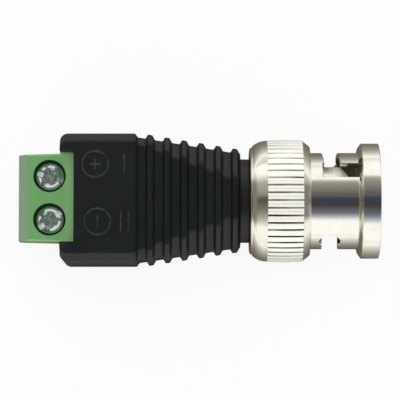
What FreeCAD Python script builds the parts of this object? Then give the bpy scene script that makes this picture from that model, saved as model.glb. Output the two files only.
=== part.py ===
"""BNC plug with a two-way screw terminal block in a ribbed black housing.

All sizes are in millimetres. The origin is the centre of the plug's open mouth.
+X runs along the plug's axis and out of the mouth, and +Z is the way the clamp screws face.
"""
import FreeCAD, Part
import Sketcher
import math
import os

SIZES = {
    # Coupling nut, from the mouth back along the axis
    "flange_thickness": 2.1,
    "flange_slope": 0.4,
    "sleeve_length": 5.65,
    "grip_bevel": 0.85,
    "knurl_length": 4.2,
    "shoulder_flat": 0.2,
    "shoulder_length": 1.73,
    "lip_length": 0.37,
    "lip_round": 0.32,
    "rim_thickness": 0.35,
    "mouth_depth": 2.4,
    # Coupling nut, from its bore outwards
    "sleeve_bore": 4.9,
    "lead_in": 0.2,
    "sleeve_wall": 0.8,
    "flange_height": 1.12,
    "flange_slope_height": 0.6,
    "cavity_step": 1.1,
    "grip_wall": 1.25,
    "grip_bevel_height": 0.8,
    "knurl_relief": 0.08,
    "knurl_count": 50,
    "knurl_width": 0.28,
    "knurl_depth": 0.2,
    "shoulder_drop": 0.67,
    "shoulder_round": 2.08,
    "lip_step": 0.12,
    "rim_play": 0.29,
    # Bayonet slots: angles are turned from +Y towards +Z
    "lug_width": 2.1,
    "lug_angle": 54.0,
    "lug_overrun": 0.7,
    "ramp_rise": 0.35,
    "ramp_bow": -0.6,
    "lock_angle": -28.0,
    "lock_diameter": 2.6,
    "lock_inset": 2.15,
    # Plug body, the outer contact
    "ferrule_radius": 4.03,
    "ferrule_tip": 3.6,
    "tip_wall": 0.52,
    "nose_length": 1.35,
    "nose_round": 2.2,
    "ferrule_bore": 2.4,
    "seal_step": 0.22,
    "seal_seat_length": 1.3,
    "body_flange_thickness": 1.3,
    "collar_step": 0.82,
    "tail_wall": 0.94,
    "tail_length": 7.0,
    "insulator_step": 0.22,
    "insulator_reach": 2.1,
    # Centre contact and its two insulators
    "pin_radius": 0.675,
    "pin_tip": 4.2,
    "pin_tip_taper": 0.8,
    "pin_tip_radius": 0.3,
    "pin_root_step": 0.225,
    "pin_root_inset": 0.1,
    "pin_collar_step": 0.4,
    "pin_collar_length": 1.0,
    "front_bush_length": 6.2,
    "tail_recess": 0.6,
    "cup_length": 2.2,
    "cup_hole_depth": 1.8,
    # Seal and washers inside the nut
    "seal_play": 0.15,
    "seal_length": 1.2,
    "washer_thickness": 0.4,
    "washer_play": 0.2,
    "wave_room": 1.2,
    "wave_thickness": 0.22,
    "wave_count": 3,
    # Housing
    "neck_wall": 1.35,
    "neck_round": 0.45,
    "neck_length": 1.12,
    "rib_count": 6,
    "rib_pitch": 1.99,
    "rib_base": 1.1,
    "rib_top": 0.56,
    "rib_height": 0.48,
    "nose_side_margin": 1.1,
    "nose_top_margin": 0.95,
    "nose_chamfer": 3.4,
    "shell_back_chamfer": 1.15,
    "side_proud": 0.13,
    "top_proud": 0.1,
    "first_groove": 0.78,
    "box_step": 0.25,
    "box_length": 8.96,
    "box_overhang": 0.25,
    "box_wall": 1.4,
    "box_chamfer": 0.95,
    "back_corner": 0.95,
    "back_edge": 0.3,
    "notch_depth": 1.66,
    "pocket_depth": 5.46,
    "ledge_width": 0.95,
    "tail_cover": 0.3,
    # Terminal block
    "screw_pitch": 5.08,
    "block_length": 10.3,
    "block_lift": 0.05,
    "block_bevel": 1.0,
    "side_wall": 0.71,
    "side_step": 0.4,
    "step_depth": 3.8,
    "divider": 1.28,
    "back_wall": 1.8,
    "block_floor": 0.6,
    "shelf_thickness": 1.3,
    "pocket_play": 0.3,
    "entry_margin": 0.3,
    "entry_above": 0.32,
    "entry_below": 0.38,
    # Clamp screws
    "thread_radius": 1.25,
    "head_radius": 1.6,
    "head_height": 1.0,
    "head_depth": 0.9,
    "head_bevel_width": 0.4,
    "head_bevel": 0.35,
    "slot_width": 0.62,
    "slot_depth": 0.5,
    "cross_width": 0.5,
    "cross_length": 2.1,
    "tip_chamfer": 0.25,
    # Rising clamp cages
    "clamp_travel": 1.75,
    "cage_length": 3.5,
    "cage_wall": 0.65,
    "cage_top": 1.2,
    "cage_floor": 0.6,
    "cage_back_gap": 0.09,
    "cage_rest_gap": 0.03,
    "wire_gap": 2.0,
    # Contact bars
    "bar_thickness": 0.6,
    "bar_play": 0.2,
    "bar_inset": 0.3,
    "plate_thickness": 0.7,
    "contact_pin_width": 1.0,
    "contact_pin_height": 0.8,
    "contact_pin_length": 1.6,
    # Links between the block and the plug
    "link_radius": 0.35,
    "link_bend": 1.2,
    "link_stub": 0.9,
    "tubing_thickness": 0.22,
    # Clearances
    "fit_gap": 0.02,
    "running_gap": 0.05,
    "slide_gap": 0.1,
    "turning_gap": 0.08,
}

SLOT_ANGLES = {"1": -15.0, "2": 36.0}
RAMP_STEPS = 8
WAVE_STEPS = 36


class Size:
    """A number together with the sheet expression that it comes from."""

    def __init__(self, value, text):
        self.value = value
        self.text = text

    def join(self, other, sign, number):
        text = other.text if isinstance(other, Size) else repr(float(other))
        return Size(number, "(%s %s %s)" % (self.text, sign, text))

    def __add__(self, other):
        return self.join(other, "+", self.value + plain(other))

    def __sub__(self, other):
        return self.join(other, "-", self.value - plain(other))

    def __mul__(self, other):
        return self.join(other, "*", self.value * plain(other))

    def __truediv__(self, other):
        return self.join(other, "/", self.value / plain(other))

    def __neg__(self):
        return self * -1


def plain(number):
    """The bare number of a Size, or the number itself."""
    return number.value if isinstance(number, Size) else float(number)


def expression(number):
    """The sheet expression of a Size, or the number written out."""
    return number.text if isinstance(number, Size) else repr(float(number))


doc = FreeCAD.newDocument("bnc_terminal_adapter")
sheet = doc.addObject("Spreadsheet::Sheet", "dims")
for row, (alias, number) in enumerate(SIZES.items(), start=1):
    sheet.set("A%d" % row, alias)
    sheet.set("B%d" % row, str(number))
    sheet.setAlias("B%d" % row, alias)
doc.recompute()


class Dimensions:
    """Every cell of the sheet as a Size, by its alias."""

    def __init__(self):
        for alias, number in SIZES.items():
            setattr(self, alias, Size(float(number), "dims." + alias))


d = Dimensions()
ZERO = Size(0.0, "0")


def place(thing, x=ZERO, y=ZERO, z=ZERO, path="Placement"):
    """Bind an object's position to the sheet."""
    for axis, number in (("x", x), ("y", y), ("z", z)):
        thing.setExpression("%s.Base.%s" % (path, axis), expression(number))


def new_body(label):
    """An empty body with the name of its piece."""
    made = doc.addObject("PartDesign::Body", label)
    made.Label = label
    return made


def sketch_on(body, role, offset=ZERO):
    """A sketch on one of the body's own origin planes, moved along the plane's normal."""
    made = body.newObject("Sketcher::SketchObject", body.Name + "_sketch")
    plane = [feature for feature in body.Origin.OriginFeatures if feature.Role == role][0]
    made.AttachmentSupport = (plane, "")
    made.MapMode = "FlatFace"
    made.setExpression("AttachmentOffset.Base.z", expression(offset))
    return made


def arc_between(start, end, radius):
    """The shorter arc from start to end that turns left."""
    chord = end - start
    middle = (start + end) * 0.5
    across = FreeCAD.Vector(-chord.y, chord.x, 0).normalize()
    height = math.sqrt(max(radius ** 2 - (chord.Length / 2) ** 2, 0.0))
    centre = middle + across * height
    angles = [math.atan2(point.y - centre.y, point.x - centre.x) for point in (start, end)]
    circle = Part.Circle(centre, FreeCAD.Vector(0, 0, 1), radius)
    return Part.ArcOfCircle(circle, angles[0], angles[1])


def outline(sketch, points):
    """A closed outline whose corners and arc radii are all bound to the sheet.

    A point is (x, y), reached by a line, or (x, y, radius), reached by an arc that turns left.
    """
    corners = [FreeCAD.Vector(plain(point[0]), plain(point[1]), 0) for point in points]
    for index, point in enumerate(points):
        start = corners[index - 1]
        end = corners[index]
        if len(point) == 2:
            sketch.addGeometry(Part.LineSegment(start, end), False)
        else:
            sketch.addGeometry(arc_between(start, end, plain(point[2])), False)
    first, last = 1, 2
    for index, point in enumerate(points):
        following = (index + 1) % len(points)
        sketch.addConstraint(Sketcher.Constraint("Coincident", index, last, following, first))
        for kind, number in (("DistanceX", point[0]), ("DistanceY", point[1])):
            made = sketch.addConstraint(Sketcher.Constraint(kind, -1, 1, index, last, plain(number)))
            if isinstance(number, Size):
                sketch.setExpression("Constraints[%d]" % made, number.text)
        if len(point) > 2:
            made = sketch.addConstraint(Sketcher.Constraint("Radius", index, plain(point[2])))
            sketch.setExpression("Constraints[%d]" % made, point[2].text)


def turned(label, points):
    """A piece turned about the plug's axis: points are (distance along X, radius)."""
    body = new_body(label)
    profile = sketch_on(body, "XY_Plane")
    outline(profile, points)
    spun = body.newObject("PartDesign::Revolution", label + "_turning")
    spun.Profile = profile
    spun.ReferenceAxis = (profile, ["H_Axis"])
    spun.Angle = 360
    body.Tip = spun
    return body


def ring(label, front, back, inner, outer):
    """A plain ring between two distances back from the mouth."""
    return turned(label, [(-front, inner), (-front, outer), (-back, outer), (-back, inner)])


def block(body, name, low, high, cut=False):
    """A box between two corners, added to the body or cut out of it."""
    kind = "PartDesign::SubtractiveBox" if cut else "PartDesign::AdditiveBox"
    made = body.newObject(kind, name)
    for side, first, last in zip(("Length", "Width", "Height"), low, high):
        made.setExpression(side, expression(last - first))
    place(made, *low)
    return made


def drilled(body, name, centre, radius, bottom, top):
    """A round hole along Z."""
    made = body.newObject("PartDesign::SubtractiveCylinder", name)
    made.setExpression("Radius", expression(radius))
    made.setExpression("Height", expression(top - bottom))
    place(made, centre[0], centre[1], bottom)
    return made


def cut_out(label, base, tool):
    """The base piece with the tool cut out of it, under the piece's own name."""
    made = doc.addObject("Part::Cut", label)
    made.Label = label
    made.Base = base
    made.Tool = tool
    return made


# Radii of the nut and of what turns inside it
sleeve_radius = d.sleeve_bore + d.sleeve_wall
mouth_bore = d.sleeve_bore + d.lead_in
flange_radius = sleeve_radius + d.flange_height
cavity_radius = d.sleeve_bore + d.cavity_step
knurl_radius = cavity_radius + d.grip_wall
shoulder_radius = knurl_radius - d.knurl_relief
lip_radius = shoulder_radius - d.shoulder_drop - d.lip_step
seal_seat_radius = d.ferrule_radius + d.seal_step
insulator_radius = d.ferrule_bore + d.insulator_step
tail_radius = insulator_radius + d.fit_gap + d.tail_wall
collar_radius = tail_radius + d.collar_step
neck_radius = tail_radius + d.fit_gap + d.neck_wall
rim_opening = neck_radius + d.rim_play
ferrule_tip_radius = d.ferrule_bore + d.tip_wall
seal_radius = d.sleeve_bore - d.seal_play
washer_bore = collar_radius + d.washer_play
wave_radius = cavity_radius - d.washer_play
pin_root_radius = d.pin_radius + d.pin_root_step
pin_collar_radius = pin_root_radius + d.pin_collar_step

# Distances back from the mouth: the nut, and the pieces inside it
flange_back = d.flange_thickness + d.flange_slope
grip_front = flange_back + d.sleeve_length
knurl_front = grip_front + d.grip_bevel
knurl_back = knurl_front + d.knurl_length
shoulder_back = knurl_back + d.shoulder_length
nut_back = shoulder_back + d.lip_length
lock_depth = grip_front - d.lock_inset
lug_stop = lock_depth + d.lug_overrun
ramp_start = lock_depth - d.ramp_rise
rim_inside = nut_back - d.rim_thickness
thrust_back = rim_inside - d.washer_thickness - d.running_gap
thrust_front = thrust_back - d.washer_thickness
body_flange_back = thrust_front - d.wave_room
wave_rise = (d.wave_room / 2 - d.wave_thickness) / 2 - d.running_gap
body_flange_front = body_flange_back - d.body_flange_thickness
shoulder_inside = body_flange_front - d.running_gap
collar_back = rim_inside + d.running_gap
tail_back = collar_back + d.tail_length
insulator_front = body_flange_front - d.insulator_reach
insulator_joint = insulator_front + d.front_bush_length
pin_collar_front = insulator_joint - d.pin_collar_length / 2
pin_collar_back = insulator_joint + d.pin_collar_length / 2
insulator_back = tail_back - d.tail_recess
cup_back = tail_back + d.cup_length

# Distances back from the mouth: the housing and the terminal block
front_rib = nut_back + d.neck_length + d.rib_base / 2
box_front = front_rib + d.rib_pitch * (d.rib_count - 1) + d.rib_base / 2 + d.first_groove + d.box_step
housing_back = box_front + d.box_length
ledge = housing_back - d.pocket_depth
block_back = ledge + d.block_length
tail_bore_back = tail_back + d.tail_cover
room_back = block_back - d.back_wall
screw_x = d.cage_length / 2 + d.cage_back_gap - room_back

# Widths of the clamps' rooms, the block and the housing
cage_room_half = (d.screw_pitch - d.divider) / 2
cage_half = cage_room_half - d.slide_gap
cage_window_half = cage_half - d.cage_wall
entry_half_width = cage_room_half - d.entry_margin
block_half_width = d.screw_pitch / 2 + cage_room_half + d.side_wall
foot_half_width = block_half_width - d.side_step
chamber_half = block_half_width - d.ledge_width
box_half_width = knurl_radius + d.box_overhang
head_pocket_radius = d.head_radius + d.pocket_play

# Heights in the block: the clamp's stack, from the screw's head down to the floor
head_stack = d.head_depth + d.head_height + d.fit_gap + d.shelf_thickness
clamp_stack = d.running_gap + d.clamp_travel + d.cage_top + d.running_gap + d.bar_thickness
floor_stack = d.wire_gap + d.cage_floor + d.cage_rest_gap + d.block_floor
block_height = head_stack + clamp_stack + floor_stack
block_top = block_height / 2 + d.block_lift
block_bottom = block_top - block_height
step_level = block_top - d.step_depth
head_top = block_top - d.head_depth
pocket_floor = head_top - d.head_height - d.fit_gap
shelf_bottom = pocket_floor - d.shelf_thickness
cage_top_low = shelf_bottom - d.running_gap - d.clamp_travel
bar_top = cage_top_low - d.cage_top - d.running_gap
bar_bottom = bar_top - d.bar_thickness
wire_floor = bar_bottom - d.wire_gap
cage_bottom = wire_floor - d.cage_floor
entry_top = bar_bottom + d.entry_above
entry_bottom = wire_floor - d.entry_below
room_bottom = block_bottom + d.block_floor
box_half_height = block_top + d.box_wall
contact_pin_middle = (bar_top + bar_bottom) / 2
contact_pin_end = ledge + d.fit_gap - d.contact_pin_length


def nut_blank():
    """The turned nut, before its bayonet slots: flange, sleeve, knurled grip and rear rim."""
    body = turned("nut_blank", [
        (ZERO, mouth_bore),
        (ZERO, flange_radius),
        (-d.flange_thickness, flange_radius),
        (-flange_back, flange_radius - d.flange_slope_height),
        (-flange_back, sleeve_radius),
        (-grip_front, sleeve_radius),
        (-grip_front, knurl_radius - d.grip_bevel_height),
        (-knurl_front, knurl_radius),
        (-knurl_back, knurl_radius),
        (-knurl_back, shoulder_radius),
        (-knurl_back - d.shoulder_flat, shoulder_radius),
        (-shoulder_back, shoulder_radius - d.shoulder_drop, d.shoulder_round),
        (-shoulder_back, lip_radius),
        (d.lip_round - nut_back, lip_radius),
        (-nut_back, lip_radius - d.lip_round, d.lip_round),
        (-nut_back, rim_opening),
        (-rim_inside, rim_opening),
        (-rim_inside, cavity_radius),
        (-shoulder_inside, cavity_radius),
        (-shoulder_inside, d.sleeve_bore),
        (-d.mouth_depth, d.sleeve_bore),
        (-d.mouth_depth, mouth_bore),
    ])
    groove = sketch_on(body, "YZ_Plane", -knurl_back)
    outline(groove, [
        (-d.knurl_width / 2, knurl_radius + d.running_gap),
        (ZERO, knurl_radius - d.knurl_depth),
        (d.knurl_width / 2, knurl_radius + d.running_gap),
    ])
    cut = body.newObject("PartDesign::Pocket", "knurl_groove")
    cut.Profile = groove
    cut.Reversed = True
    cut.setExpression("Length", expression(knurl_back - knurl_front + d.slide_gap))
    pattern = body.newObject("PartDesign::PolarPattern", "knurl_grooves")
    pattern.Originals = [cut]
    pattern.Axis = ([part for part in body.Origin.OriginFeatures if part.Role == "X_Axis"][0], [""])
    pattern.Angle = 360
    pattern.setExpression("Occurrences", expression(d.knurl_count))
    body.Tip = pattern
    return body


def radial_box(front, back, inner, outer, width):
    """A box that points out along +Y, between two distances back from the mouth."""
    corner = FreeCAD.Vector(-back, inner, -width / 2)
    return Part.makeBox(back - front, outer - inner, width, corner)


def radial_hole(depth, radius, inner, outer):
    """A round cutter that points out along +Y, at a distance back from the mouth."""
    foot = FreeCAD.Vector(-depth, inner, 0)
    return Part.makeCylinder(radius, outer - inner, foot, FreeCAD.Vector(0, 1, 0))


def ramp_cutter(inner, outer):
    """The cam ramp from the lug slot to the lock hole, through radial sections."""
    start_angle = SIZES["lug_angle"]
    sweep = SIZES["lock_angle"] - start_angle
    bow = SIZES["ramp_bow"]
    half = SIZES["lug_width"] / 2
    sections = []
    for step in range(RAMP_STEPS + 1):
        share = step / RAMP_STEPS
        depth = ramp_start.value + SIZES["ramp_rise"] * (share + bow * share * (share - 1))
        angle = math.radians(start_angle + sweep * share)
        corners = []
        for along, out in ((-half, inner), (half, inner), (half, outer), (-half, outer)):
            corners.append(FreeCAD.Vector(along - depth, out * math.cos(angle), out * math.sin(angle)))
        sections.append(Part.makePolygon(corners + [corners[0]]))
    return Part.makeLoft(sections, True, False)


def bayonet_cutters():
    """Everything that the two bayonet tracks take out of the nut."""
    width = SIZES["lug_width"]
    gap = SIZES["running_gap"]
    inner = SIZES["sleeve_bore"] - gap * 10
    outer = sleeve_radius.value + gap * 10
    axis = FreeCAD.Vector(1, 0, 0)
    middle = FreeCAD.Vector(0, 0, 0)
    flange = SIZES["flange_thickness"] + gap
    stop_depth = lug_stop.value
    entry = radial_box(flange, stop_depth, inner, flange_radius.value, width)
    groove = radial_box(-width, stop_depth, inner, sleeve_radius.value - gap, width)
    track = entry.fuse(groove)
    track.rotate(middle, axis, SIZES["lug_angle"])
    lock = radial_hole(lock_depth.value, SIZES["lock_diameter"] / 2, inner, outer)
    lock.rotate(middle, axis, SIZES["lock_angle"])
    one = track.multiFuse([lock, ramp_cutter(inner, outer)])
    other = one.copy()
    other.rotate(middle, axis, 180)
    made = doc.addObject("Part::Feature", "bayonet_cutters")
    made.Shape = Part.makeCompound([one, other])
    return made


def coupling_nut():
    """The bayonet nut that a hand turns."""
    return cut_out("coupling_nut", nut_blank(), bayonet_cutters())


def plug_body():
    """The outer contact: tapered ferrule, seal seat, flange, collar and tail in one turning."""
    bore = insulator_radius + d.fit_gap
    seat_front = body_flange_front - d.seal_seat_length
    return turned("plug_body", [
        (-d.ferrule_tip, d.ferrule_bore),
        (-d.ferrule_tip, ferrule_tip_radius),
        (-d.ferrule_tip - d.nose_length, d.ferrule_radius, d.nose_round),
        (-seat_front, d.ferrule_radius),
        (-seat_front, seal_seat_radius),
        (-body_flange_front, seal_seat_radius),
        (-body_flange_front, cavity_radius - d.turning_gap),
        (-body_flange_back, cavity_radius - d.turning_gap),
        (-body_flange_back, collar_radius),
        (-collar_back, collar_radius),
        (-collar_back, tail_radius),
        (-tail_back, tail_radius),
        (-tail_back, bore),
        (-insulator_front, bore),
        (-insulator_front, d.ferrule_bore),
    ])


def insulators():
    """The two bushes that grip the centre pin's collar between them."""
    hole = pin_root_radius + d.running_gap
    recess = pin_collar_radius + d.running_gap
    turned("insulator", [
        (-insulator_front, hole),
        (-insulator_front, insulator_radius),
        (-insulator_joint, insulator_radius),
        (-insulator_joint, recess),
        (-pin_collar_front, recess),
        (-pin_collar_front, hole),
    ])
    turned("rear_insulator", [
        (-insulator_joint, recess),
        (-insulator_joint, insulator_radius),
        (-insulator_back, insulator_radius),
        (-insulator_back, hole),
        (-pin_collar_back, hole),
        (-pin_collar_back, recess),
    ])


def centre_pin():
    """The centre contact: tapered tip, thicker root, collar, and a solder cup at the back."""
    cup_hole = d.link_radius + d.fit_gap
    root_front = insulator_front + d.pin_root_inset
    return turned("centre_pin", [
        (-d.pin_tip, ZERO),
        (-d.pin_tip, d.pin_tip_radius),
        (-d.pin_tip - d.pin_tip_taper, d.pin_radius),
        (-root_front, d.pin_radius),
        (-root_front, pin_root_radius),
        (-pin_collar_front, pin_root_radius),
        (-pin_collar_front, pin_collar_radius),
        (-pin_collar_back, pin_collar_radius),
        (-pin_collar_back, pin_root_radius),
        (-cup_back, pin_root_radius),
        (-cup_back, cup_hole),
        (d.cup_hole_depth - cup_back, cup_hole),
        (d.cup_hole_depth - cup_back, ZERO),
    ])


def nut_rings():
    """The seal and the flat washers inside the nut."""
    nut_inside = cavity_radius - d.running_gap
    seal_inside = seal_seat_radius + d.running_gap
    ring("gasket", body_flange_front - d.seal_length, body_flange_front, seal_inside, seal_radius)
    ring("retaining_washer", rim_inside - d.washer_thickness, rim_inside, washer_bore, nut_inside)
    ring("thrust_washer", thrust_front, thrust_back, collar_radius + d.running_gap, nut_inside)


def wave_washers():
    """Two wavy spring washers that push the thrust washer back from the body's flange."""
    room = SIZES["wave_room"]
    thickness = SIZES["wave_thickness"]
    inner = collar_radius.value + SIZES["slide_gap"]
    outer = wave_radius.value
    for index in (0, 1):
        middle = body_flange_back.value + room * (0.25 + 0.5 * index)
        sections = []
        for step in range(WAVE_STEPS):
            turn = 2 * math.pi * step / WAVE_STEPS
            lift = wave_rise.value * math.cos(SIZES["wave_count"] * turn) * (1 - 2 * index)
            corners = []
            for along, out in ((0, inner), (0, outer), (1, outer), (1, inner)):
                depth = middle + lift + thickness * (0.5 - along)
                corners.append(FreeCAD.Vector(-depth, out * math.cos(turn), out * math.sin(turn)))
            sections.append(Part.makePolygon(corners + [corners[0]]))
        made = doc.addObject("Part::Feature", "wave_washer_%d" % (index + 1))
        made.Label = "wave_washer_%d" % (index + 1)
        made.Shape = Part.makeLoft(sections, True, False, True)


def octagon(half_width, half_height, chamfer):
    """A rectangle's outline with its four corners cut off at 45 degrees."""
    return [
        (half_width, half_height - chamfer),
        (half_width - chamfer, half_height),
        (chamfer - half_width, half_height),
        (-half_width, half_height - chamfer),
        (-half_width, chamfer - half_height),
        (chamfer - half_width, -half_height),
        (half_width - chamfer, -half_height),
        (half_width, chamfer - half_height),
    ]


def housing_stations():
    """The housing's sections from the back to the front: depth, half width, half height, chamfer."""
    corner = d.back_corner
    edge = d.back_edge
    stations = [
        (housing_back, box_half_width - corner, box_half_height - edge, d.box_chamfer),
        (housing_back - edge, box_half_width - corner / 2, box_half_height, d.box_chamfer),
        (housing_back - corner, box_half_width, box_half_height, d.box_chamfer),
        (box_front, box_half_width, box_half_height, d.box_chamfer),
    ]
    last = d.rib_count - 1

    def taper(front, back, rib):
        return front + (back - front) * rib / last

    def station(depth, rib, drop):
        half_width = taper(neck_radius + d.nose_side_margin, box_half_width - d.side_proud, rib) - drop
        half_height = taper(neck_radius + d.nose_top_margin, box_half_height - d.top_proud, rib) - drop
        stations.append((depth, half_width, half_height, taper(d.nose_chamfer, d.shell_back_chamfer, rib)))

    station(box_front - d.box_step, SIZES["rib_count"] - 0.5, d.rib_height)
    for rib in reversed(range(int(SIZES["rib_count"]))):
        middle = front_rib + d.rib_pitch * rib
        station(middle + d.rib_base / 2, rib, d.rib_height)
        station(middle + d.rib_top / 2, rib, ZERO)
        station(middle - d.rib_top / 2, rib, ZERO)
        station(middle - d.rib_base / 2, rib, d.rib_height)
    return stations


def housing():
    """The moulded housing: box, tapering ribbed nose, neck, and the hollow for the block."""
    body = new_body("housing")
    sections = []
    for depth, half_width, half_height, chamfer in housing_stations():
        section = sketch_on(body, "YZ_Plane", -depth)
        outline(section, octagon(half_width, half_height, chamfer))
        sections.append(section)
    shell = body.newObject("PartDesign::AdditiveLoft", "ribbed_shell")
    shell.Profile = sections[0]
    shell.Sections = sections[1:]
    shell.Ruled = True

    neck_profile = sketch_on(body, "XY_Plane")
    rounded = neck_radius - d.neck_round
    outline(neck_profile, [
        (-collar_back, ZERO),
        (-collar_back, rounded),
        (-collar_back - d.neck_round, neck_radius, d.neck_round),
        (-front_rib, neck_radius),
        (-front_rib, ZERO),
    ])
    neck = body.newObject("PartDesign::Revolution", "neck")
    neck.Profile = neck_profile
    neck.ReferenceAxis = (neck_profile, ["H_Axis"])
    neck.Angle = 360

    side = block_half_width + d.running_gap
    foot_side = foot_half_width + d.running_gap
    outside = housing_back + d.box_chamfer
    block(body, "block_pocket", (-outside, -side, step_level - d.running_gap),
          (-ledge, side, block_top + d.running_gap), cut=True)
    block(body, "foot_pocket", (-outside, -foot_side, block_bottom),
          (-ledge, foot_side, step_level), cut=True)
    block(body, "top_notch", (-outside, -side, ZERO),
          (d.notch_depth - housing_back, side, box_half_height + d.box_chamfer), cut=True)
    half = chamber_half
    block(body, "link_chamber", (-ledge - d.running_gap, -half, -half),
          (-tail_bore_back, half, half), cut=True)
    bore_profile = sketch_on(body, "XY_Plane")
    bore = tail_radius + d.fit_gap
    outline(bore_profile, [
        (-tail_bore_back - d.running_gap, ZERO),
        (-tail_bore_back - d.running_gap, bore),
        (d.running_gap - collar_back, bore),
        (d.running_gap - collar_back, ZERO),
    ])
    tail_bore = body.newObject("PartDesign::Groove", "tail_bore")
    tail_bore.Profile = bore_profile
    tail_bore.ReferenceAxis = (bore_profile, ["H_Axis"])
    tail_bore.Angle = 360
    body.Tip = tail_bore
    return body


def terminal_body():
    """The green moulding that holds both clamps."""
    body = new_body("terminal_body")
    profile = sketch_on(body, "XZ_Plane", -block_half_width)
    outline(profile, [
        (-block_back, block_bottom),
        (-ledge, block_bottom),
        (-ledge, block_top),
        (d.block_bevel - block_back, block_top),
        (-block_back, block_top - d.block_bevel),
    ])
    pad = body.newObject("PartDesign::Pad", "block_outside")
    pad.Profile = profile
    pad.setExpression("Length", expression(block_half_width * 2))
    end = d.running_gap
    for name, low, high in (("left_step", -block_half_width - end, -foot_half_width),
                            ("right_step", foot_half_width, block_half_width + end)):
        block(body, name, (-block_back - end, low, block_bottom - end),
              (end - ledge, high, step_level), cut=True)
    half = cage_room_half
    for number, y in (("1", d.screw_pitch / 2), ("2", -d.screw_pitch / 2)):
        block(body, "clamp_room_" + number, (-room_back, y - half, room_bottom),
              (d.running_gap - ledge, y + half, shelf_bottom), cut=True)
        wide = entry_half_width
        block(body, "wire_entry_" + number, (-block_back - d.running_gap, y - wide, entry_bottom),
              (d.running_gap - room_back, y + wide, entry_top), cut=True)
        centre = (screw_x, y)
        shank_hole = d.thread_radius + d.running_gap
        above = block_top + d.running_gap
        drilled(body, "shank_hole_" + number, centre, shank_hole, shelf_bottom - d.running_gap, above)
        drilled(body, "head_pocket_" + number, centre, head_pocket_radius, pocket_floor, above)
    return body


def clamp_screw(number, y):
    """A clamp screw, turned on its own axis, with a slot and a short cross arm in its head."""
    body = new_body("screw_" + number)
    profile = sketch_on(body, "XZ_Plane")
    tip = bar_top + d.fit_gap
    underside = head_top - d.head_height
    outline(profile, [
        (ZERO, tip),
        (d.thread_radius - d.tip_chamfer, tip),
        (d.thread_radius, tip + d.tip_chamfer),
        (d.thread_radius, underside),
        (d.head_radius, underside),
        (d.head_radius, head_top - d.head_bevel),
        (d.head_radius - d.head_bevel_width, head_top),
        (ZERO, head_top),
    ])
    spun = body.newObject("PartDesign::Revolution", "screw_turning")
    spun.Profile = profile
    spun.ReferenceAxis = (profile, ["V_Axis"])
    spun.Angle = 360
    across = d.head_radius + d.running_gap
    above = head_top + d.running_gap
    floor = head_top - d.slot_depth
    block(body, "driver_slot", (-across, -d.slot_width / 2, floor),
          (across, d.slot_width / 2, above), cut=True)
    block(body, "cross_arm", (-d.cross_width / 2, -d.cross_length / 2, floor),
          (d.cross_width / 2, d.cross_length / 2, above), cut=True)
    body.Placement.Rotation = FreeCAD.Rotation(FreeCAD.Vector(0, 0, 1), SLOT_ANGLES[number])
    place(body, screw_x, y)
    return body


def clamp_cage(number, y):
    """The threaded cage that rises to clamp the wire, stored at the bottom of its travel."""
    body = new_body("cage_" + number)
    long = d.cage_length / 2
    window = cage_window_half
    block(body, "cage_outside", (-long, -cage_half, cage_bottom), (long, cage_half, cage_top_low))
    block(body, "cage_window", (-long - d.running_gap, -window, wire_floor),
          (long + d.running_gap, window, cage_top_low - d.cage_top), cut=True)
    thread = d.thread_radius + d.running_gap
    drilled(body, "cage_thread", (ZERO, ZERO), thread, wire_floor, cage_top_low + d.running_gap)
    place(body, screw_x, y)
    return body


def contact(number, y):
    """The contact: bar under the screw, plate that closes the clamp's room, and solder pin."""
    body = new_body("contact_" + number)
    plate_front = -ledge - d.fit_gap
    plate_back = plate_front - d.plate_thickness
    bar_wide = cage_window_half - d.bar_play
    bar_end = d.bar_inset - room_back
    pin_wide = d.contact_pin_width / 2
    pin_tall = d.contact_pin_height / 2
    block(body, "bar", (bar_end, -bar_wide, bar_bottom), (plate_front, bar_wide, bar_top))
    block(body, "plate", (plate_back, -cage_half, room_bottom + d.running_gap),
          (plate_front, cage_half, shelf_bottom - d.running_gap))
    block(body, "solder_pin", (plate_back, -pin_wide, contact_pin_middle - pin_tall),
          (-contact_pin_end, pin_wide, contact_pin_middle + pin_tall))
    place(body, ZERO, y)
    return body


def rounded_path(corners, radius):
    """Straight runs through the corners, joined by arcs that touch both runs."""
    edges = []
    start = corners[0]
    for before, corner, after in zip(corners, corners[1:], corners[2:]):
        back = (before - corner).normalize()
        ahead = (after - corner).normalize()
        half_angle = back.getAngle(ahead) / 2
        reach = radius / math.tan(half_angle)
        toward = (back + ahead).normalize()
        middle = corner + toward * (radius / math.sin(half_angle) - radius)
        enter = corner + back * reach
        leave = corner + ahead * reach
        edges.append(Part.LineSegment(start, enter).toShape())
        edges.append(Part.Arc(enter, middle, leave).toShape())
        start = leave
    edges.append(Part.LineSegment(start, corners[-1]).toShape())
    return Part.Wire(edges)


def swept_round(label, corners, radius, bend):
    """A round wire along the corners."""
    path = rounded_path(corners, bend)
    heading = corners[1] - corners[0]
    circle = Part.Wire([Part.Circle(corners[0], heading, radius).toShape()])
    made = doc.addObject("Part::Feature", label)
    made.Label = label
    made.Shape = path.makePipeShell([circle], True, True)
    return made


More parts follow.
